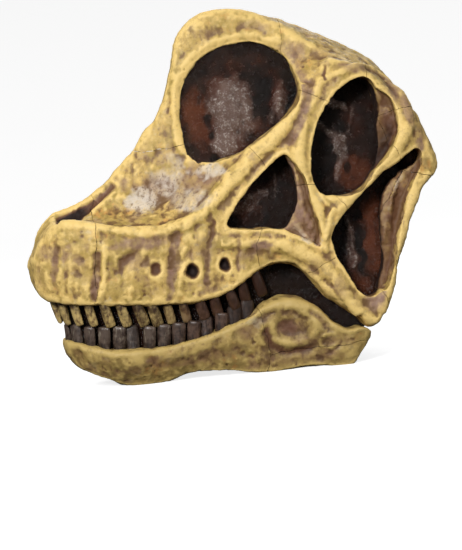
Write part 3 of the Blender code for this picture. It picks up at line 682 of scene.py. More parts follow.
def envelope(name, sections, profile):
    """A body lofted along X through smooth cross-sections."""
    rings = []
    for station in smooth_path(sections, SPAN_STEPS):
        half = smooth_path(profile(station), SPAN_STEPS)
        half[:, 0] = np.maximum(half[:, 0], 0.0)
        inner = [(max(width, 1e-3), z) for width, z in half[1:-1]]
        left = [Vector((station[0], -width, z)) for width, z in inner]
        right = [Vector((station[0], width, z)) for width, z in inner[::-1]]
        top = [Vector((station[0], 0.0, half[0][1]))]
        bottom = [Vector((station[0], 0.0, half[-1][1]))]
        rings.append(top + left + bottom + right)
    return loft(name, rings)


def wall_half_width(sections, profile, x, z):
    """How far the side wall lies from the midline at x and z."""
    table = np.array(sections)
    station = [np.interp(x, table[:, 0], column) for column in table.T]
    half = smooth_path(profile(station), 8)
    lowest = int(np.argmin(np.abs(half[:, 1] - profile(station)[-3][1])))
    upper = half[: lowest + 1]
    order = np.argsort(upper[:, 1])
    return np.interp(z, upper[order, 1], upper[order, 0])


def prism(name, outline, near, far):
    """A cutter with this outline in x, z that reaches from y near to y far."""
    curve = smooth_path(outline, SPAN_STEPS, closed=True)
    return loft(name, [[Vector((x, y, z)) for x, z in curve] for y in (near, far)])


def tube(name, points, radii):
    """A round bar along points, with its own radius at each."""
    sides = 14
    rings = []
    for i, point in enumerate(points):
        ahead = points[min(i + 1, len(points) - 1)] - points[max(i - 1, 0)]
        across = ahead.cross(Vector((0, 1, 0))).normalized()
        outward = across.cross(ahead).normalized()
        turns = [2 * math.pi * k / sides for k in range(sides)]
        rings.append([
            point + radii[i] * (math.cos(turn) * across + math.sin(turn) * outward)
            for turn in turns
        ])
    return loft(name, rings)


def ridge_pair(name, stations, sections, profile):
    """A raised ridge on both side walls, half sunk in them."""
    path = smooth_path(stations, 5)
    made = []
    for side in (-1, 1):
        points = []
        for x, z, radius in path:
            width = wall_half_width(sections, profile, x, z) - RIDGE_SUNK * radius
            points.append(Vector((x, side * width, z)))
        made.append(tube(f"{name}_{side}", points, (RIDGE_GROWN * path[:, 2]).tolist()))
    return made


def arch(name, outline, front, back):
    """A tunnel-shaped cutter along X under a symmetric arch."""
    half = smooth_path(outline, 4)
    left = [(-width, z) for width, z in half]
    right = [(width, z) for width, z in half[::-1]]
    rings = [[Vector((x, y, z)) for y, z in left + right] for x in (front, back)]
    return loft(name, rings)


def vectors_of(mesh, source, kind):
    flat = np.empty(len(mesh.vertices) * 3, np.float32)
    source.foreach_get(kind, flat)
    return flat.reshape(-1, 3).astype(float)


def points_of(obj):
    return vectors_of(obj.data, obj.data.vertices, "co")


def normals_of(obj):
    return vectors_of(obj.data, obj.data.vertices, "normal")


def move_points(obj, points):
    obj.data.vertices.foreach_set("co", points.astype(np.float32).ravel())
    obj.data.update()


def mark(obj, name, values):
    """Keeps one number for each point, for the materials to read."""
    layer = obj.data.attributes.new(name, "FLOAT", "POINT")
    layer.data.foreach_set("value", np.clip(values, 0, 1).astype(np.float32))


def raise_mark(obj, name, values):
    """Raises a number that the points keep to at least these values."""
    layer = obj.data.attributes[name].data
    kept = np.empty(len(values), np.float32)
    layer.foreach_get("value", kept)
    layer.foreach_set("value", np.maximum(kept, values).astype(np.float32))


def step_up(values, low, high):
    """0 below low, 1 above high, and a smooth rise between."""
    share = np.clip((values - low) / (high - low), 0, 1)
    return share * share * (3 - 2 * share)


def fold(points):
    """The points with the left side laid on the right, so that both sides get the same noise."""
    return points * (1, 0, 1) + np.abs(points) * (0, 1, 0)


def wavering(points, noise, size):
    """Shifts in x and z, up to 1, that make the edges of what is drawn uneven."""
    still = np.zeros(len(points))
    return np.column_stack((noise.at(points, size), still, noise.at(points + 9.0, size)))


def oval_reach(points, x, z, wide, high):
    """How far each point lies from the middle of an oval in x, z, whose edge is at 1."""
    return np.hypot((points[:, 0] - x) / wide, (points[:, 2] - z) / high)


def settle(points, edges, passes):
    """The points after some rounds of drawing each towards its neighbours."""
    count = len(points)
    degree = np.bincount(edges.ravel(), minlength=count)[:, None]
    for _ in range(passes):
        pulled = np.empty_like(points)
        for axis in range(points.shape[1]):
            column = points[:, axis]
            pulled[:, axis] = (
                np.bincount(edges[:, 0], column[edges[:, 1]], count)
                + np.bincount(edges[:, 1], column[edges[:, 0]], count)
            )
        points = (points + pulled / degree) / 2
    return points


def mark_relief(obj):
    """Marks how hollow each point lies, broadly and finely, from 0 on ridges to 1 in pits."""
    points = points_of(obj)
    normals = normals_of(obj)
    edges = edges_of(obj)
    near = settle(points, edges, 8)
    far = settle(near, edges, 70)
    fine = np.einsum("ij,ij->i", near - points, normals)
    broad = np.einsum("ij,ij->i", far - points, normals)
    mark(obj, "grit", 0.5 + fine / 0.0008)
    mark(obj, "hollow", 0.5 + broad / 0.0060)


def stroke(points, path, width):
    """How strongly a stroke along a path through x, z covers each point, 0 to 1."""
    near = np.full(len(points), width)
    x, z = points[:, 0], points[:, 2]
    line = smooth_path(path, 4) if len(path) > 2 else np.array(path)
    for (ax, az), (bx, bz) in zip(line, line[1:]):
        run_x, run_z = bx - ax, bz - az
        share = ((x - ax) * run_x + (z - az) * run_z) / (run_x**2 + run_z**2)
        share = np.clip(share, 0, 1)
        near = np.minimum(near, np.hypot(x - ax - share * run_x, z - az - share * run_z))
    return 0.5 + 0.5 * np.cos(np.pi * near / width)


def patches(points, table):
    """How strongly oval patches cover each point."""
    total = np.zeros(len(points))
    for x, z, wide, high, strength in table:
        reach = oval_reach(points, x, z, wide, high)
        total = np.maximum(total, strength * (1 - step_up(reach, 0.35, 1.15)))
    return total


def wall_depth(points, sections, profile):
    """How far each point lies inside the envelope's side wall."""
    columns = np.linspace(-0.37, 0.37, 186)
    levels = np.linspace(-0.02, 0.66, 171)
    grid = np.array([wall_half_width(sections, profile, x, levels) for x in columns])
    across = (points[:, 0] - columns[0]) / (columns[1] - columns[0])
    above = (points[:, 2] - levels[0]) / (levels[1] - levels[0])
    i = np.clip(across.astype(int), 0, len(columns) - 2)
    k = np.clip(above.astype(int), 0, len(levels) - 2)
    u = np.clip(across - i, 0, 1)
    v = np.clip(above - k, 0, 1)
    low = grid[i, k] * (1 - u) + grid[i + 1, k] * u
    high = grid[i, k + 1] * (1 - u) + grid[i + 1, k + 1] * u
    return low * (1 - v) + high * v - np.abs(points[:, 1])


def within(points, outline):
    """Which points lie inside a closed curve through x, z."""
    curve = smooth_path(outline, SPAN_STEPS, closed=True)
    x, z = points[:, 0], points[:, 2]
    found = np.zeros(len(points), bool)
    for (ax, az), (bx, bz) in zip(curve, np.roll(curve, -1, axis=0)):
        if az != bz:
            crossing = ax + (z - az) * (bx - ax) / (bz - az)
            found ^= ((az > z) != (bz > z)) & (x < crossing)
    return found


class Skin:
    """The outside of a bony body while it is carved, with what its points are to keep."""

    def __init__(self, obj, sections, profile, noise):
        self.noise = noise
        self.edges = edges_of(obj)
        self.points = points_of(obj)
        self.normals = normals_of(obj)
        self.folded = fold(self.points)
        self.inside = wall_depth(self.points, sections, profile)
        self.outer = 1 - step_up(self.inside, *SKIN_DEPTH)
        self.side = step_up(np.abs(self.normals[:, 1]), *SIDEWAYS) * self.outer
        shift = wavering(self.folded, noise, 0.020)
        shift += 0.5 * wavering(self.folded, noise, 0.007)
        self.steady = self.points + 0.0030 * shift
        self.drawn = self.points + 0.0060 * shift
        self.loose = self.points + 0.011 * shift
        self.lift = np.zeros(len(self.points))
        self.sideways = np.zeros(len(self.points))
        self.dark = np.zeros(len(self.points))

    def stain(self, purples, pales):
        self.purple = patches(self.drawn, purples) * self.side
        # Pale patches: bleached bone on the cranium, and on the jaw painted highlights
        self.pale = patches(self.loose, pales) * self.outer

    def finish_hollows(self, hollows):
        """Stains the floors of the hollows purple, darkens them, and makes them uneven."""
        for outline, _, purples, darkens in hollows:
            floor = (within(self.drawn, outline) * step_up(self.inside, 0.003, 0.009))[:, None]
            floor = settle(floor, self.edges, 6)[:, 0]
            self.dark = np.maximum(self.dark, darkens * floor * (1 - 0.75 * self.purple))
            self.purple = np.maximum(self.purple, purples * floor)
            self.lift += 0.0026 * floor * self.noise.rugged(self.folded + 21.0, 0.020, 3)

    def draw(self, strokes):
        """Cuts or raises the strokes, and stains them in blots."""
        unevenness = 1 + 0.35 * self.noise.at(self.folded, 0.012)
        blots = np.clip(0.75 + 0.5 * self.noise.rugged(self.folded + 29.0, 0.016, 2), 0, 1)
        for path, width, depth, purples, darkens in strokes:
            cover = stroke(self.steady, path, 1.5 * width) * self.side
            self.lift -= depth * cover * unevenness
            stain = step_up(cover, 0.0, 0.85) * blots
            self.purple = np.maximum(self.purple, purples * stain)
            self.dark = np.maximum(self.dark, darkens * step_up(cover, 0.20, 1.0) * blots)
            if purples < 0:
                self.pale = np.maximum(self.pale, -purples * stain)
            elif depth < 0 and not purples:
                self.dark *= 1 - 0.7 * stain
                self.purple *= 1 - 0.7 * stain

    def drill(self, pits):
        """Sinks oval pits with a low lip, a little higher than they are wide, and darkens them with painted
        shade.
        """
        for x, z, radius, depth, darkens in pits:
            reach = oval_reach(self.steady, x, z, 1.0, 1.2) / radius
            self.sideways -= depth * (1 - step_up(reach, 0.25, 1.0)) * self.side
            self.lift += 0.0012 * np.exp(-(((reach - 1.2) / 0.30) ** 2)) * self.side
            # Painted shade in the pit
            stain = darkens * (1 - step_up(reach, 0.50, 1.20)) * self.side
            self.dark = np.maximum(self.dark, stain)

    def roughen(self):
        """Lumps and pocks all over, and upright ribs on the muzzle."""
        for height, size, octaves, start in BONE_LUMPS:
            self.lift += height * self.noise.rugged(self.folded + start, size, octaves)
        pocks = self.noise.rugged(self.folded + 13.0, 0.0120, 2)
        self.lift -= 0.0016 * step_up(pocks, 0.72, 1.25)
        muzzle = step_up(-self.points[:, 0], -0.02, 0.05) * self.side
        ribs = self.noise.rugged(self.folded + 7.0, 0.013, 2, stretch=(1, 1, 5))
        self.lift += 0.0014 * muzzle * ribs

    def sink(self, sinks):
        for x, z, wide, high, depth in sinks:
            reach = oval_reach(self.points, x, z, wide, high)
            self.lift -= depth * (1 - step_up(reach, 0.30, 1.10))

    def settle_on(self, obj):
        """Moves the body's points and keeps the stains and painted shade on them."""
        moved = self.points + self.normals * self.lift[:, None]
        moved[:, 1] += np.sign(self.points[:, 1]) * self.sideways
        move_points(obj, moved)
        mark(obj, "purple", self.purple)
        mark(obj, "pale", self.pale)
        mark(obj, "dark", self.dark)
        # deep: painted shade on the walls inside the openings, by how far inside the side wall a point lies
        mark(obj, "deep", step_up(self.inside, *PAINTED_SHADE_DEPTH))


def clip(polygon, normal, reach):
    """The part of a convex polygon in (x, z) that lies where point . normal < reach."""
    kept = []
    for i, point in enumerate(polygon):
        following = polygon[(i + 1) % len(polygon)]
        here = float(np.dot(point, normal)) - reach
        there = float(np.dot(following, normal)) - reach
        if here <= 0:
            kept.append(point)
        if here * there < 0:
            kept.append(point + (following - point) * here / (here - there))
    return kept


def cell_polygon(seed, seeds):
    """The region nearer to this middle than to the others, less half a suture to other bones."""
    name, x, z, weight = seed
    corners = ((-REACH, -REACH), (REACH, -REACH), (REACH, REACH), (-REACH, REACH))
    polygon = [np.array(corner) for corner in corners]
    centre = np.array((x, z))
    for other in seeds:
        if other == seed:
            continue
        away = np.array(other[1:3]) - centre
        length = float(np.linalg.norm(away))
        middle = length / 2 + (weight - other[3]) / (2 * length)
        normal = away / length
        shrink = -SEAM_OVERLAP if other[0] == name else SUTURE / 2
        polygon = clip(polygon, normal, float(np.dot(centre, normal)) + middle - shrink)
    return polygon


def wavy(polygon, noise):
    """The polygon with its sides bent as real sutures are, the same way on both sides of one."""
    made = []
    for i, point in enumerate(polygon):
        following = polygon[(i + 1) % len(polygon)]
        length = float(np.linalg.norm(following - point))
        for t in np.arange(0, 1, 1 / max(1, int(length / 0.003))):
            made.append(point + (following - point) * t)
    flat = np.array(made)
    spots = np.column_stack((flat[:, 0], np.zeros(len(flat)), flat[:, 1]))
    bend_x = 0.0030 * noise.at(spots, 0.022) + 0.0016 * noise.at(spots, 0.0085)
    bend_z = 0.0030 * noise.at(spots + 5.0, 0.022) + 0.0016 * noise.at(spots + 5.0, 0.0085)
    return flat + np.column_stack((bend_x, bend_z))


def edges_of(obj):
    flat = np.empty(len(obj.data.edges) * 2, np.int32)
    obj.data.edges.foreach_get("vertices", flat)
    return flat.reshape(-1, 2)


def spread_stains_and_shades(obj, rounds=40):
    """Gives the points that a cut has made the stains and painted shade of the skin next to them."""
    count = len(obj.data.vertices)
    values = np.empty((len(STAINS_AND_SHADES), count), np.float32)
    for row, name in zip(values, STAINS_AND_SHADES):
        obj.data.attributes[name].data.foreach_get("value", row)
    known = values[0] + values[1] > 1e-6
    edges = edges_of(obj)
    both = np.concatenate((edges, edges[:, ::-1]))
    for _ in range(rounds):
        pairs = both[known[both[:, 0]] & ~known[both[:, 1]]]
        if not len(pairs):
            break
        share = np.bincount(pairs[:, 1], minlength=count)
        fresh = share > 0
        for row in values:
            total = np.bincount(pairs[:, 1], row[pairs[:, 0]], count)
            row[fresh] = total[fresh] / share[fresh]
        known = known | fresh
    for row, name in zip(values, STAINS_AND_SHADES):
        obj.data.attributes[name].data.foreach_set("value", row)


def part_bones(body, seeds, noise):
    """Cuts the body along the sutures and the midline into left and right bones."""
    bones = []
    for name in dict.fromkeys(seed[0] for seed in seeds):
        outlines = [wavy(cell_polygon(s, seeds), noise) for s in seeds if s[0] == name]
        for side, label in ((-1, "left"), (1, "right")):
            cells = [
                loft("cell", [
                    [Vector((x, side * y, z)) for x, z in outline]
                    for y in (MIDLINE_SUTURE / 2, FAR)
                ])
                for outline in outlines
            ]
            for extra in cells[1:]:
                boolean(cells[0], "UNION", extra)
            bone = new_object(f"{name}_{label}_bone", body.data.copy())
            boolean(bone, "INTERSECT", cells[0])
            for cell in cells:
                bpy.data.objects.remove(cell)
            spread_stains_and_shades(bone)
            bones.append(bone)
    return bones


def make_rock(noise):
    """The rock that fills the skull: swellings, creases, and soft ridges in the openings."""
    rock = fuse(envelope("rock_filling", ROCK_SECTIONS, rock_profile), ROCK_GRAIN, 4)
    points = points_of(rock)
    normals = normals_of(rock)
    folded = fold(points)
    lift = 0.0036 * noise.rugged(folded, 0.042, 3)
    creases = 1 - np.abs(noise.rugged(folded + 11.0, 0.020, 2))
    lift += 0.0016 * (creases - 0.6)
    lift += 0.0012 * noise.rugged(folded + 17.0, 0.0110, 2)
    drawn = points + 0.007 * wavering(folded, noise, 0.018)
    lilac_and_glint = patches(drawn, LILAC_AND_GLINT_PATCHES)
    for path, width, height, strength in ROCK_RIDGES:
        cover = stroke(drawn, path, 1.3 * width)
        lift += height * cover
        lilac_and_glint = np.maximum(lilac_and_glint, strength * cover)
    swelling = np.zeros(len(points))
    for x, z, wide, high, height in ROCK_SWELLINGS:
        reach = oval_reach(drawn, x, z, wide, high)
        swelling += height * np.exp(-1.8 * reach**2) * np.abs(normals[:, 1])
    lift += swelling
    # raised: the swellings' height, which the paint also uses for painted shade away from them
    mark(rock, "raised", swelling / 0.014)
    move_points(rock, points + normals * lift[:, None])
    mark(rock, "russet", patches(drawn, RUSSET_PATCHES))
    mark(rock, "lilac_and_glint", lilac_and_glint)
    mark_relief(rock)
    return rock


def make_braincase(noise):
    balls = [ball("lobe", item[:3], item[3:]) for item in BRAINCASE_BALLS]
    braincase = fuse(join("braincase_bone", balls), BONE_GRAIN, 14)
    cut_away(braincase, [ball("hole", SPINAL_HOLE[:3], SPINAL_HOLE[3:])])
    fuse(braincase, BONE_GRAIN, 3)
    points = points_of(braincase)
    lift = 0.0022 * noise.rugged(points, 0.024, 3) + 0.0004 * noise.rugged(points + 3, 0.007, 2)
    move_points(braincase, points + normals_of(braincase) * lift[:, None])
    count = len(points)
    hole = np.hypot(points[:, 1], points[:, 2] - SPINAL_HOLE[2])
    mark(braincase, "purple", 0.5 + 0.5 * noise.at(points, 0.03))
    mark(braincase, "pale", np.zeros(count))
    # dark: painted shade in the spinal hole
    mark(braincase, "dark", 1 - step_up(hole, 0.010, 0.016))
    # deep: painted shade on the part seen only through the openings, and around the spinal hole
    hidden = 1 - step_up(points[:, 0], 0.326, 0.338)
    mark(braincase, "deep", np.maximum(hidden, 1 - step_up(hole, 0.012, 0.024)))
    return braincase


def cut_nostril_slits(cranium):
    """The slits beside the bar on the midline, deepest at their front ends, and darkest there with painted
    shade.
    """
    points = points_of(cranium)
    normals = normals_of(cranium)
    ahead = -points[:, 0]
    off_middle = np.abs(points[:, 1])
    front = step_up(ahead, 0.19, 0.29)
    slit = stroke(points, NOSTRIL_SLIT, 0.011) * (0.45 + 0.55 * front)
    slit = np.maximum(slit, stroke(points, NOSTRIL_SLIT[:3], 0.017) * front)
    slit *= step_up(off_middle, 0.006, 0.014) * step_up(normals[:, 2], -0.2, 0.2)
    slit *= 1 - step_up(off_middle, 0.058, 0.070)
    move_points(cranium, points - normals * ((0.011 + 0.006 * front) * slit)[:, None])
    raise_mark(cranium, "purple", step_up(slit, 0.1, 0.5))
    # Painted shade in the slit, darkest at its front end; the purple is a stain
    front_end = 0.35 + 0.65 * step_up(ahead, 0.23, 0.27)
    raise_mark(cranium, "dark", step_up(slit, 0.1, 0.6) * front_end)


def make_cranium(noise):
    bodies = [envelope("cranium_form", CRANIUM_SECTIONS, cranium_profile)]
    ridges = {
        "rim": RIM_RIDGE, "lacrimal": LACRIMAL_RIDGE, "postorbital": POSTORBITAL_RIDGE,
        "jugal": JUGAL_RIDGE, "brow": BROW_RIDGE, "quadrate": QUADRATE_RIDGE,
    }
    for name, stations in ridges.items():
        bodies += ridge_pair(name, stations, CRANIUM_SECTIONS, cranium_profile)
    cranium = fuse(join("cranium", bodies), BONE_GRAIN, 6)
    openings = [
        prism("opening", outline, -FAR, FAR)
        for outline in (NARIS, ORBIT, ANTORBITAL, INFRATEMPORAL)
    ]
    hollows = [
        prism("hollow", outline, side * floor, side * FAR)
        for outline, floor, _, _ in HOLLOWS for side in (-1, 1)
    ]
    vault = arch("occiput_arch", OCCIPUT_ARCH, OCCIPUT_FRONT, 0.45)
    cut_away(cranium, [join("openings", openings), join("hollows", hollows), vault])
    fuse(cranium, BONE_GRAIN, 5)
    skin = Skin(cranium, CRANIUM_SECTIONS, cranium_profile, noise)
    skin.stain(PURPLE_PATCHES, PALE_PATCHES)
    skin.finish_hollows(HOLLOWS)
    skin.draw(CRANIUM_STROKES)
    skin.drill(FORAMINA)
    skin.roughen()
    skin.sink(SINKS)
    skin.settle_on(cranium)
    cut_nostril_slits(cranium)
    mark_relief(cranium)
    return cranium


def raise_rings(jaw, noise):
    """The oval rings on the jaw's sides, sunk in the middle, and the level underside."""
    points = points_of(jaw)
    normals = normals_of(jaw)
    side = step_up(np.abs(normals[:, 1]), *SIDEWAYS)
    folded = fold(points)
    lift = np.zeros(len(points))
    for x, z, wide, high in JAW_RINGS:
        reach = oval_reach(points, x, z, wide, high) * (1 + 0.16 * noise.at(folded, 0.022))
        height = 0.06 * high * (1 + 0.8 * noise.at(folded + 5.0, 0.030))
        lift += height * np.exp(-(((reach - 0.92) / 0.20) ** 2)) * side
        lift -= 0.07 * high * (1 - step_up(reach, 0.30, 0.85)) * side
    moved = points + normals * lift[:, None]
    moved[:, 2] = np.maximum(moved[:, 2], 0.0)
    move_points(jaw, moved)


def make_jaw(noise):
    jaw = fuse(envelope("jaw_form", JAW_SECTIONS, jaw_profile), BONE_GRAIN, 6)
    room = np.array([(row[0], row[3] - JAW_WALL) for row in JAW_SECTIONS])
    rings = []
    for x, share, top in MOUTH_FLOOR:
        width = share * float(np.interp(x, room[:, 0], room[:, 1]))
        corners = ((-width, -0.05), (width, -0.05), (width, top), (-width, top))
        rings.append([Vector((x, y, z)) for y, z in corners])
    cut_away(jaw, [loft("floor", rings)])
    fuse(jaw, BONE_GRAIN, 3)
    skin = Skin(jaw, JAW_SECTIONS, jaw_profile, noise)
    skin.stain(JAW_PURPLE, JAW_PALES_AND_HIGHLIGHTS)
    skin.draw(JAW_STROKES)
    skin.roughen()
    skin.settle_on(jaw)
    raise_rings(jaw, noise)
    mark_relief(jaw)
    return jaw


class Socket:
    """An output of a node, for use in Python sums."""

    def __init__(self, paint, socket):
        self.paint = paint
        self.socket = socket

    def sum(self, operation, first, second):
        return self.paint.node(
            "ShaderNodeMath", {"operation": operation}, {0: first, 1: second}
        )

    def __add__(self, other):
        return self.sum("ADD", self, other)

    __radd__ = __add__

    def __sub__(self, other):
        return self.sum("SUBTRACT", self, other)

    def __rsub__(self, other):
        return self.sum("SUBTRACT", other, self)

    def __mul__(self, other):
        return self.sum("MULTIPLY", self, other)

    __rmul__ = __mul__

    def __pow__(self, other):
        return self.sum("POWER", self, other)

    def most(self, other):
        return self.sum("MAXIMUM", self, other)

    def least(self, other):
        return self.sum("MINIMUM", self, other)

    def rise(self, low, high):
        """0 below low, 1 above high, and a smooth rise between."""
        return self.paint.node(
            "ShaderNodeMapRange",
            {"interpolation_type": "SMOOTHSTEP"},
            {"Value": self, "From Min": low, "From Max": high},
        )


class Paint:
    """Builds a node tree: a material's own, or one for geometry."""

    def __init__(self, tree):
        self.tree = tree

    def add(self, kind, settings=None, inputs=None):
        """A new node: its settings first, then the values or links of its sockets."""
        made = self.tree.nodes.new(kind)
        for name, value in (settings or {}).items():
            setattr(made, name, value)
        for key, value in (inputs or {}).items():
            if isinstance(value, Socket):
                self.tree.links.new(value.socket, made.inputs[key])
            else:
                made.inputs[key].default_value = value
        return made

    def node(self, kind, settings=None, inputs=None, output=0):
        """One output of a new node."""
        return Socket(self, self.add(kind, settings, inputs).outputs[output])

    def axes(self, vector):
        """The x, y and z of a vector."""
        apart = self.add("ShaderNodeSeparateXYZ", None, {0: vector})
        return [Socket(self, output) for output in apart.outputs]

    def blend(self, first, second, share):
        """One colour turning into another as share goes from 0 to 1."""
        return self.node(
            "ShaderNodeMix", {"data_type": "RGBA"}, {0: share, 6: first, 7: second}, 2
        )

    def mark(self, name):
        return self.node("ShaderNodeAttribute", {"attribute_name": name}, output="Fac")

    def place(self):
        return self.node("ShaderNodeTexCoord", output="Object")

    def noise(self, place, size, detail=3.0, roughness=0.55):
        """Cloudy values near 0.5 with features of this size in metres."""
        return self.node(
            "ShaderNodeTexNoise", None,
            {"Vector": place, "Scale": 1 / size, "Detail": detail, "Roughness": roughness},
        )

    def stretched(self, place, scale):
        return self.node("ShaderNodeMapping", None, {"Vector": place, "Scale": scale})

    def bump(self, height, distance, strength):
        return self.node(
            "ShaderNodeBump", None,
            {"Height": height, "Distance": distance, "Strength": strength},
        )


def sheen_material(name, build, shine):
    """A material whose colour, roughness and normal come from build(paint)."""
    material = bpy.data.materials.new(name)
    material.use_nodes = True
    shader = material.node_tree.nodes["Principled BSDF"]
    paint = Paint(material.node_tree)
    colour, roughness, normal = build(paint)
    for key, value in (("Base Color", colour), ("Roughness", roughness), ("Normal", normal)):
        paint.tree.links.new(value.socket, shader.inputs[key])
    shader.inputs["Specular IOR Level"].default_value = shine
    return material


def tint(red, green, blue):
    """A colour from its values on screen, 0 to 255."""
    channels = [value / 255 for value in (red, green, blue)]
    linear = [c / 12.92 if c <= 0.04045 else ((c + 0.055) / 1.055) ** 2.4 for c in channels]
    return (*linear, 1.0)


def bone_paint(bright, yellow, olive, amber, wash_and_shade, rust_and_shade, deep_brown, pale_bone, chalk_and_highlight, purple_brown):
    def build(paint):
        place = paint.place()
        hollow = paint.mark("hollow")
        grit = paint.mark("grit")
        purple = paint.mark("purple")
        pale = paint.mark("pale")
        dark = paint.mark("dark")
        deep = paint.mark("deep")
        broad = paint.noise(place, 0.080, 5.0, 0.60)
        clouds = paint.noise(place, 0.032, 5.0, 0.62)
        blot = paint.noise(paint.stretched(place, (1.0, 1.0, 0.6)), 0.019, 4.0, 0.55)
        mottle = paint.noise(place, 0.0125, 4.0, 0.62)
        grain = paint.noise(place, 0.0042, 3.0, 0.60)
        veil = paint.noise(place, 0.057, 6.0, 0.66)
        colour = paint.blend(olive, yellow, (broad * 0.5 + clouds * 0.5).rise(0.38, 0.58))
        colour = paint.blend(colour, pale_bone, (clouds * 0.5 + mottle * 0.5).rise(0.52, 0.68) * 0.6)
        colour = paint.blend(colour, amber, (veil * 0.6 + mottle * 0.4).rise(0.45, 0.34) * 0.7)
        # Purple-brown veils, drawn into the broad hollows: a stain, and painted shade in the hollows
        veil_and_shade = (veil * 0.7 + clouds * 0.3 + (hollow - 0.5) * 0.30).rise(0.49, 0.64)
        colour = paint.blend(colour, purple_brown, veil_and_shade * 0.62)
        # Brown smears, thicker in the broad hollows: a paint wash, and painted shade in the hollows
        smears_and_shade = (broad * 0.3 + blot * 0.7 + (hollow - 0.5) * 0.40).rise(0.49, 0.64)
        colour = paint.blend(colour, wash_and_shade, smears_and_shade * 0.80)
        # Bright on ridges and edges: dry-brushed paint, and a painted highlight
        ridge = (hollow * 0.85 + grit * 0.15 + (mottle - 0.5) * 0.35).rise(0.48, 0.16)
        colour = paint.blend(colour, bright, ridge * 0.85 * (1 - smears_and_shade * 0.45))
        pale_share = (pale * (clouds * 0.7 + blot * 0.7 + grain * 0.6)).rise(0.38, 1.20)
        colour = paint.blend(colour, chalk_and_highlight, pale_share)
        purple_share = (purple * (clouds * 0.9 + mottle * 0.9)).rise(0.15, 1.10)
        colour = paint.blend(colour, purple_brown, purple_share * (1 - pale_share * 0.7))
        # Brown in pits and hollows: a paint wash, and painted shade
        sunk = (hollow * 0.6 + grit * 0.4 + (mottle - 0.5) * 0.5).rise(0.56, 0.92)
        colour = paint.blend(colour, wash_and_shade, sunk * 0.85)
        flecks = (grain * 0.6 + mottle * 0.4 + (broad - 0.5) * 0.5).rise(0.54, 0.66)
        colour = paint.blend(colour, wash_and_shade, flecks * (0.22 + 0.55 * pale).least(0.85))
        # Reddish brown, then deep brown, from the dark and deep marks: stains on the strokes, and painted
        # shade in pits, slits and inside the openings
        stain_and_shade = (dark * (0.55 + clouds * 0.9)).most(deep * (0.6 + 0.8 * clouds))
        colour = paint.blend(colour, rust_and_shade, stain_and_shade.rise(0.05, 0.50) * 0.85)
        colour = paint.blend(colour, deep_brown, stain_and_shade.rise(0.40, 0.95))
        roughness = 0.56 + 0.16 * stain_and_shade + 0.25 * (grain - 0.5)
        heights = mottle * 0.9 + grain * 0.6
        normal = paint.bump(heights, 0.0016, 0.6)
        return colour, roughness, normal

    return build


def rock_paint(paint):
    place = paint.place()
    russet = paint.mark("russet")
    lilac_and_glint = paint.mark("lilac_and_glint")
    hollow = paint.mark("hollow")
    clouds = paint.noise(place, 0.040, 3.0, 0.5)
    mottle = paint.noise(place, 0.010, 4.0, 0.65)
    grain = paint.noise(place, 0.0034, 3.0, 0.70)
    raised = paint.mark("raised")
    # Near black where the rock lies away from its swellings, brown on them: painted shade of the deep rock,
    # with cloudy tone
    colour = paint.blend(tint(24, 9, 4), tint(74, 35, 20), (raised * 0.7 + clouds).rise(0.50, 1.2))
    russet_share = (russet * (0.3 + mottle * 0.6 + clouds * 0.6)).rise(0.2, 1.2)
    colour = paint.blend(colour, tint(98, 50, 28), russet_share)
    lilac_and_glint_share = (lilac_and_glint * (0.1 + clouds * 0.5 + mottle * 0.8 + grain * 0.4)).rise(0.25, 1.15)
    colour = paint.blend(colour, tint(126, 104, 94), lilac_and_glint_share * 0.9)
    # Whitish specks on the lilac grey: painted glints
    painted_glints = (mottle * 0.4 + grain * 0.6).rise(0.50, 0.66)
    colour = paint.blend(colour, tint(212, 204, 196), lilac_and_glint_share * painted_glints * 0.8)
    # Near black in the rock's creases and hollows: painted shade
    colour = paint.blend(colour, tint(9, 4, 3), hollow.rise(0.56, 0.95) * 0.9)
    roughness = 0.12 + 0.26 * mottle
    normal = paint.bump(mottle * 0.5 + grain, 0.0055, 1.0)
    return colour, roughness, normal


def tooth_paint(crown_colour, edge_colour, tone_and_shade_colour, rear_colour, streak_colour):
    def build(paint):
        place = paint.place()
        crown = paint.mark("crown")
        shade = paint.mark("shade")
        along = paint.axes(place)[0]
        rearward = along.rise(-0.17, -0.07)
        hindmost = along.rise(-0.07, 0.02)
        streaks = paint.noise(paint.stretched(place, (1.0, 1.0, 0.16)), 0.0042, 3.0, 0.6)
        mottle = paint.noise(place, 0.010, 3.0, 0.6)
        colour = paint.blend(crown_colour, rear_colour, rearward)
        colour = paint.blend(colour, edge_colour, (streaks + mottle * 0.6).rise(0.72, 0.98))
        # Darker towards the root: painted shade where the tooth goes into the bone
        colour = paint.blend(colour, tone_and_shade_colour, (1 - crown + (mottle - 0.5) * 1.2).rise(0.30, 0.9))
        colour = paint.blend(colour, tone_and_shade_colour, (shade * mottle * 1.8).rise(0.25, 0.95) * 0.7)
        bands = (streaks - (mottle - 0.5) * 0.4).rise(0.54, 0.70)
        colour = paint.blend(colour, streak_colour, bands * crown * (1 - rearward) * 0.7)
        # Darker towards the back
        colour = paint.blend(colour, tone_and_shade_colour, hindmost * 0.75)
        roughness = 0.22 + 0.30 * mottle
        normal = paint.bump(streaks + mottle * 0.6, 0.0016, 0.8)
        return colour, roughness, normal

    return build


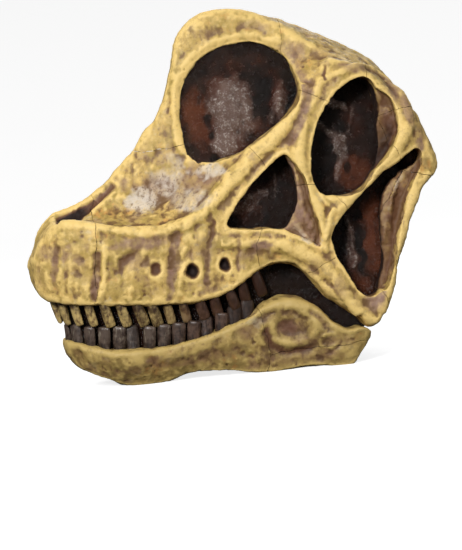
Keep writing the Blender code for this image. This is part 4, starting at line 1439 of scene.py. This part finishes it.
def tooth_tree():
    """The node tree that sets teeth along a row, each pointing up from its root."""
    tree = bpy.data.node_groups.new("tooth_row", "GeometryNodeTree")
    sizes = (
        ("Row", "NodeSocketGeometry"), ("Teeth", "NodeSocketInt"), ("Width", "NodeSocketFloat"),
        ("Thickness", "NodeSocketFloat"), ("Point down", "NodeSocketFloat"),
        ("Seed", "NodeSocketInt"), ("Enamel", "NodeSocketMaterial"),
    )
    for name, kind in sizes:
        tree.interface.new_socket(name, in_out="INPUT", socket_type=kind)
    tree.interface.new_socket("Geometry", in_out="OUTPUT", socket_type="NodeSocketGeometry")
    paint = Paint(tree)
    entry = paint.add("NodeGroupInput")
    given = {name: Socket(paint, entry.outputs[name]) for name, _ in sizes}

    blank = paint.node(
        "GeometryNodeMeshCylinder", {"fill_type": "TRIANGLE_FAN"},
        {"Vertices": 16, "Side Segments": 10, "Fill Segments": 4, "Radius": 1.0, "Depth": 1.0},
    )
    spot = paint.node("GeometryNodeInputPosition")
    x, y, z = paint.axes(spot)
    rise = z + 0.5
    swell = 0.84 + 0.30 * rise - 0.24 * rise**4
    thin = 1.0 - 0.50 * rise**2
    centre = x * x + y * y
    along = x * swell * 0.5 * given["Width"]
    across = y * thin * 0.5 * given["Thickness"] + 0.25 * given["Thickness"] * rise**2
    dome = rise.rise(0.80, 1.0) * centre * -0.045
    stored = paint.node(
        "GeometryNodeStoreNamedAttribute", {"data_type": "FLOAT", "domain": "POINT"},
        {"Geometry": blank, "Name": "crown", "Value": rise},
    )
    shaped_at = paint.node(
        "ShaderNodeCombineXYZ", None, {"X": along, "Y": across, "Z": rise + dome}
    )
    tooth = paint.node(
        "GeometryNodeSetPosition", None, {"Geometry": stored, "Position": shaped_at}
    )
    tooth = paint.node("GeometryNodeSetShadeSmooth", None, {0: tooth})

    line = paint.node("GeometryNodeMeshToCurve", None, {"Mesh": given["Row"]})
    walk = paint.add(
        "GeometryNodeCurveToPoints", {"mode": "COUNT"}, {"Curve": line, "Count": given["Teeth"]}
    )
    spots = Socket(paint, walk.outputs["Points"])
    tangent = Socket(paint, walk.outputs["Tangent"])
    chance = paint.node(
        "FunctionNodeRandomValue", {"data_type": "FLOAT"},
        {2: 0.0, 3: 1.0, "Seed": given["Seed"]}, 1,
    )
    spots = paint.node(
        "GeometryNodeStoreNamedAttribute", {"data_type": "FLOAT", "domain": "POINT"},
        {"Geometry": spots, "Name": "shade", "Value": chance},
    )
    reach = paint.node("GeometryNodeInputNamedAttribute", {"data_type": "FLOAT"}, {"Name": "reach"})
    lean = paint.node("GeometryNodeInputNamedAttribute", {"data_type": "FLOAT"}, {"Name": "lean"})
    facing = paint.node(
        "FunctionNodeAlignRotationToVector", {"axis": "X", "pivot_axis": "Z"}, {"Vector": tangent}
    )
    sway = paint.node(
        "FunctionNodeRandomValue", {"data_type": "FLOAT"},
        {2: -0.10, 3: 0.10, "Seed": given["Seed"] + 1}, 1,
    )
    twist = paint.node(
        "ShaderNodeCombineXYZ", None,
        {"X": given["Point down"] * math.pi + sway, "Y": lean + sway, "Z": sway * 1.8},
    )
    facing = paint.node(
        "FunctionNodeRotateRotation", {"rotation_space": "LOCAL"},
        {"Rotation": facing, "Rotate By": twist},
    )
    size = paint.node(
        "ShaderNodeCombineXYZ", None,
        {"X": 0.84 + 0.26 * chance, "Y": 0.94 + 0.12 * chance, "Z": reach * (0.95 + 0.07 * chance)},
    )
    placed = paint.node(
        "GeometryNodeInstanceOnPoints", None,
        {"Points": spots, "Instance": tooth, "Rotation": facing, "Scale": size},
    )
    real = paint.node("GeometryNodeRealizeInstances", None, {"Geometry": placed})
    finished = paint.node(
        "GeometryNodeSetMaterial", None, {"Geometry": real, "Material": given["Enamel"]}
    )
    paint.add("NodeGroupOutput", None, {"Geometry": finished})
    return tree


def make_teeth(name, tree, row, edge, enamel):
    """Both sides' teeth in one row, from inside the bone's edge to the bite line."""
    path = smooth_path(row.path, 8)
    run = np.concatenate(([0.0], np.cumsum(np.linalg.norm(np.diff(path, axis=0), axis=1))))
    spacing = run[-1] / row.count
    bite = np.array(BITE)
    stops = np.linspace(0.5 * spacing, run[-1] - 0.5 * spacing, 8 * row.count)
    corners = []
    reaches = []
    leans = []
    for side, order in ((-1, stops[::-1]), (1, stops)):
        for stop in order:
            x, y = (float(np.interp(stop, run, path[:, k])) for k in (0, 1))
            edge_z = float(np.interp(x, edge[:, 0], edge[:, 1]))
            tip = float(np.interp(x, bite[:, 0], bite[:, 1])) + row.tip_shift
            root = edge_z + math.copysign(TOOTH_ROOT, edge_z - tip)
            corners.append((x, side * y, root))
            reaches.append(abs(root - tip))
            forward = float(np.interp(stop, run[1:], np.diff(path[:, 0]) / np.diff(run)))
            leans.append(row.lean * forward * -side * (2 * row.down - 1))
    data = bpy.data.meshes.new(name)
    data.from_pydata(corners, [(i, i + 1) for i in range(len(corners) - 1)], [])
    for key, values in (("reach", reaches), ("lean", leans)):
        layer = data.attributes.new(key, "FLOAT", "POINT")
        layer.data.foreach_set("value", np.array(values, np.float32))
    obj = new_object(name, data)
    modifier = obj.modifiers.new("Teeth", "NODES")
    modifier.node_group = tree
    values = {
        "Teeth": 2 * row.count, "Width": row.width * spacing,
        "Thickness": TOOTH_THICKNESS * spacing, "Point down": row.down, "Seed": row.seed,
        "Enamel": enamel,
    }
    for item in tree.interface.items_tree:
        if item.item_type == "SOCKET" and item.in_out == "INPUT" and item.name in values:
            modifier[item.identifier] = values[item.name]
    return apply_modifiers(obj)


def finish_piece(piece, material, node):
    piece.data.materials.clear()
    piece.data.materials.append(material)
    piece.data.shade_smooth()
    piece.data.set_sharp_from_angle(angle=SHARP_ANGLE)
    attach(piece, "root")
    if node:
        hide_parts(node)


def add_camera():
    """The photograph's viewing angle, tilt and size."""
    azimuth, elevation, roll = (math.radians(a) for a in (-8.0, 4.0, -5.9))
    target = Vector((-0.00306, 0.0, 0.1695))
    distance = 3.4
    metres_per_pixel = 0.0018
    back = Vector((
        math.sin(azimuth) * math.cos(elevation),
        -math.cos(azimuth) * math.cos(elevation),
        math.sin(elevation),
    ))
    across = Vector((math.cos(azimuth), math.sin(azimuth), 0.0))
    upward = back.cross(across)
    right = across * math.cos(roll) + upward * math.sin(roll)
    up = upward * math.cos(roll) - across * math.sin(roll)
    camera = bpy.data.objects.new("camera", bpy.data.cameras.new("camera"))
    bpy.context.scene.collection.objects.link(camera)
    camera.data.sensor_width = 36.0
    camera.data.lens = 36.0 * distance / metres_per_pixel / 550
    turn = Matrix((right, up, back)).transposed().to_4x4()
    camera.matrix_world = Matrix.Translation(target + back * distance) @ turn
    bpy.context.scene.camera = camera


def add_light(name, place, aim, size, watts):
    light = bpy.data.lights.new(name, "AREA")
    light.size = size
    light.energy = watts
    obj = bpy.data.objects.new(name, light)
    bpy.context.scene.collection.objects.link(obj)
    obj.location = place
    obj.rotation_euler = (Vector(aim) - Vector(place)).to_track_quat("-Z", "Y").to_euler()


def add_stage():
    """A pale round floor that curves up far behind on all sides."""
    rings = ((4.0, 0.0), (7.0, 0.0), (7.8, 0.15), (8.5, 0.6), (9.0, 1.4), (9.2, 2.6), (9.3, 7.0))
    mesh = bmesh.new()
    sides = 64
    middle = mesh.verts.new((0, 0, 0))
    before = None
    for radius, z in rings:
        ring = [
            mesh.verts.new((
                radius * math.cos(2 * math.pi * k / sides),
                radius * math.sin(2 * math.pi * k / sides), z,
            ))
            for k in range(sides)
        ]
        for k in range(sides):
            j = (k + 1) % sides
            if before is None:
                mesh.faces.new((middle, ring[k], ring[j]))
            else:
                mesh.faces.new((before[k], ring[k], ring[j], before[j]))
        before = ring
    floor = object_from("studio_floor", mesh)
    floor.data.shade_smooth()
    material = bpy.data.materials.new("studio_floor")
    material.use_nodes = True
    shader = material.node_tree.nodes["Principled BSDF"]
    shader.inputs["Base Color"].default_value = (0.50, 0.50, 0.50, 1.0)
    shader.inputs["Roughness"].default_value = 0.9
    shader.inputs["Emission Color"].default_value = (1.0, 1.0, 1.0, 1.0)
    shader.inputs["Emission Strength"].default_value = 0.78
    floor.data.materials.append(material)
    floor.visible_diffuse = False
    floor.visible_glossy = False


def add_sky():
    """Soft light from all round, brighter from above than from the floor."""
    world = bpy.data.worlds.new("studio")
    world.use_nodes = True
    bpy.context.scene.world = world
    paint = Paint(world.node_tree)
    height = paint.axes(paint.node("ShaderNodeTexCoord", output="Generated"))[2].rise(-0.4, 1.0)
    background = world.node_tree.nodes["Background"]
    colour = paint.blend((0.05, 0.05, 0.05, 1.0), (0.46, 0.46, 0.46, 1.0), height)
    world.node_tree.links.new(colour.socket, background.inputs["Color"])


def main():
    bpy.context.scene.view_settings.view_transform = "Standard"
    bone_noise = Noise(11)
    rock_noise = Noise(23)
    suture_noise = Noise(37)

    bone = sheen_material("cranium_bone", bone_paint(
        bright=tint(240, 206, 128), yellow=tint(208, 174, 100), olive=tint(166, 140, 72),
        amber=tint(206, 148, 78), wash_and_shade=tint(108, 78, 46), rust_and_shade=tint(96, 60, 38), deep_brown=tint(30, 14, 9),
        pale_bone=tint(216, 196, 150), chalk_and_highlight=tint(214, 202, 186),
        purple_brown=tint(142, 110, 92),
    ), shine=0.35)
    # A darker copy of the cranium's paint: the jaw's own duller tone, and painted shade on the lower jaw
    jaw_bone = sheen_material("jaw_bone", bone_paint(
        bright=tint(196, 168, 100), yellow=tint(164, 136, 78), olive=tint(132, 110, 60),
        amber=tint(160, 112, 60), wash_and_shade=tint(84, 58, 34), rust_and_shade=tint(88, 52, 32), deep_brown=tint(28, 13, 8),
        pale_bone=tint(176, 156, 110), chalk_and_highlight=tint(176, 162, 132),
        purple_brown=tint(120, 86, 66),
    ), shine=0.35)
    filling = sheen_material("rock_filling", rock_paint, shine=0.5)
    upper_enamel = sheen_material("upper_enamel", tooth_paint(
        tint(192, 166, 106), tint(104, 76, 48), tint(44, 24, 15), tint(104, 76, 62),
        tint(206, 182, 124),
    ), shine=0.5)
    lower_enamel = sheen_material("lower_enamel", tooth_paint(
        tint(88, 74, 64), tint(56, 40, 32), tint(30, 18, 13), tint(96, 74, 62),
        tint(158, 146, 128),
    ), shine=0.5)

    cranium = make_cranium(bone_noise)
    jaw = make_jaw(bone_noise)
    rock = make_rock(rock_noise)
    braincase = make_braincase(bone_noise)

    grown_rock = swollen(rock, ROCK_GAP)
    grown_braincase = swollen(braincase, ROCK_GAP)
    for body in (cranium, jaw):
        boolean(body, "DIFFERENCE", grown_rock)
    for body in (cranium, rock):
        boolean(body, "DIFFERENCE", grown_braincase)
    for helper in (grown_rock, grown_braincase):
        bpy.data.objects.remove(helper)
    mark_relief(braincase)

    for body, seeds, material, slot in (
        (cranium, CRANIUM_BONES, bone, "bone"), (jaw, JAW_BONES, jaw_bone, "jaw_bone"),
    ):
        for piece in part_bones(body, seeds, suture_noise):
            finish_piece(piece, material, piece.name.removesuffix("_bone"))
        bpy.data.objects.remove(body)
    finish_piece(braincase, bone, "braincase")
    finish_piece(rock, filling, "rock_matrix")

    tree = tooth_tree()
    upper_edge = np.array([(row[0], row[7]) for row in CRANIUM_SECTIONS])
    lower_edge = np.array([(row[0], row[1]) for row in JAW_SECTIONS])
    upper = make_teeth("upper_teeth", tree, UPPER_TEETH, upper_edge, upper_enamel)
    lower = make_teeth("lower_teeth", tree, LOWER_TEETH, lower_edge, lower_enamel)
    finish_piece(upper, upper_enamel, None)
    finish_piece(lower, lower_enamel, None)

    add_camera()
    add_light("key", (-1.5, -2.8, 1.55), (0.0, 0.0, 0.30), 0.9, 104)
    add_light("fill", (1.8, -2.6, 0.9), (0.0, 0.0, 0.25), 2.2, 10)
    add_light("back", (0.8, 2.6, 2.4), (0.0, 0.0, 0.30), 2.0, 34)
    add_stage()
    add_sky()


main()
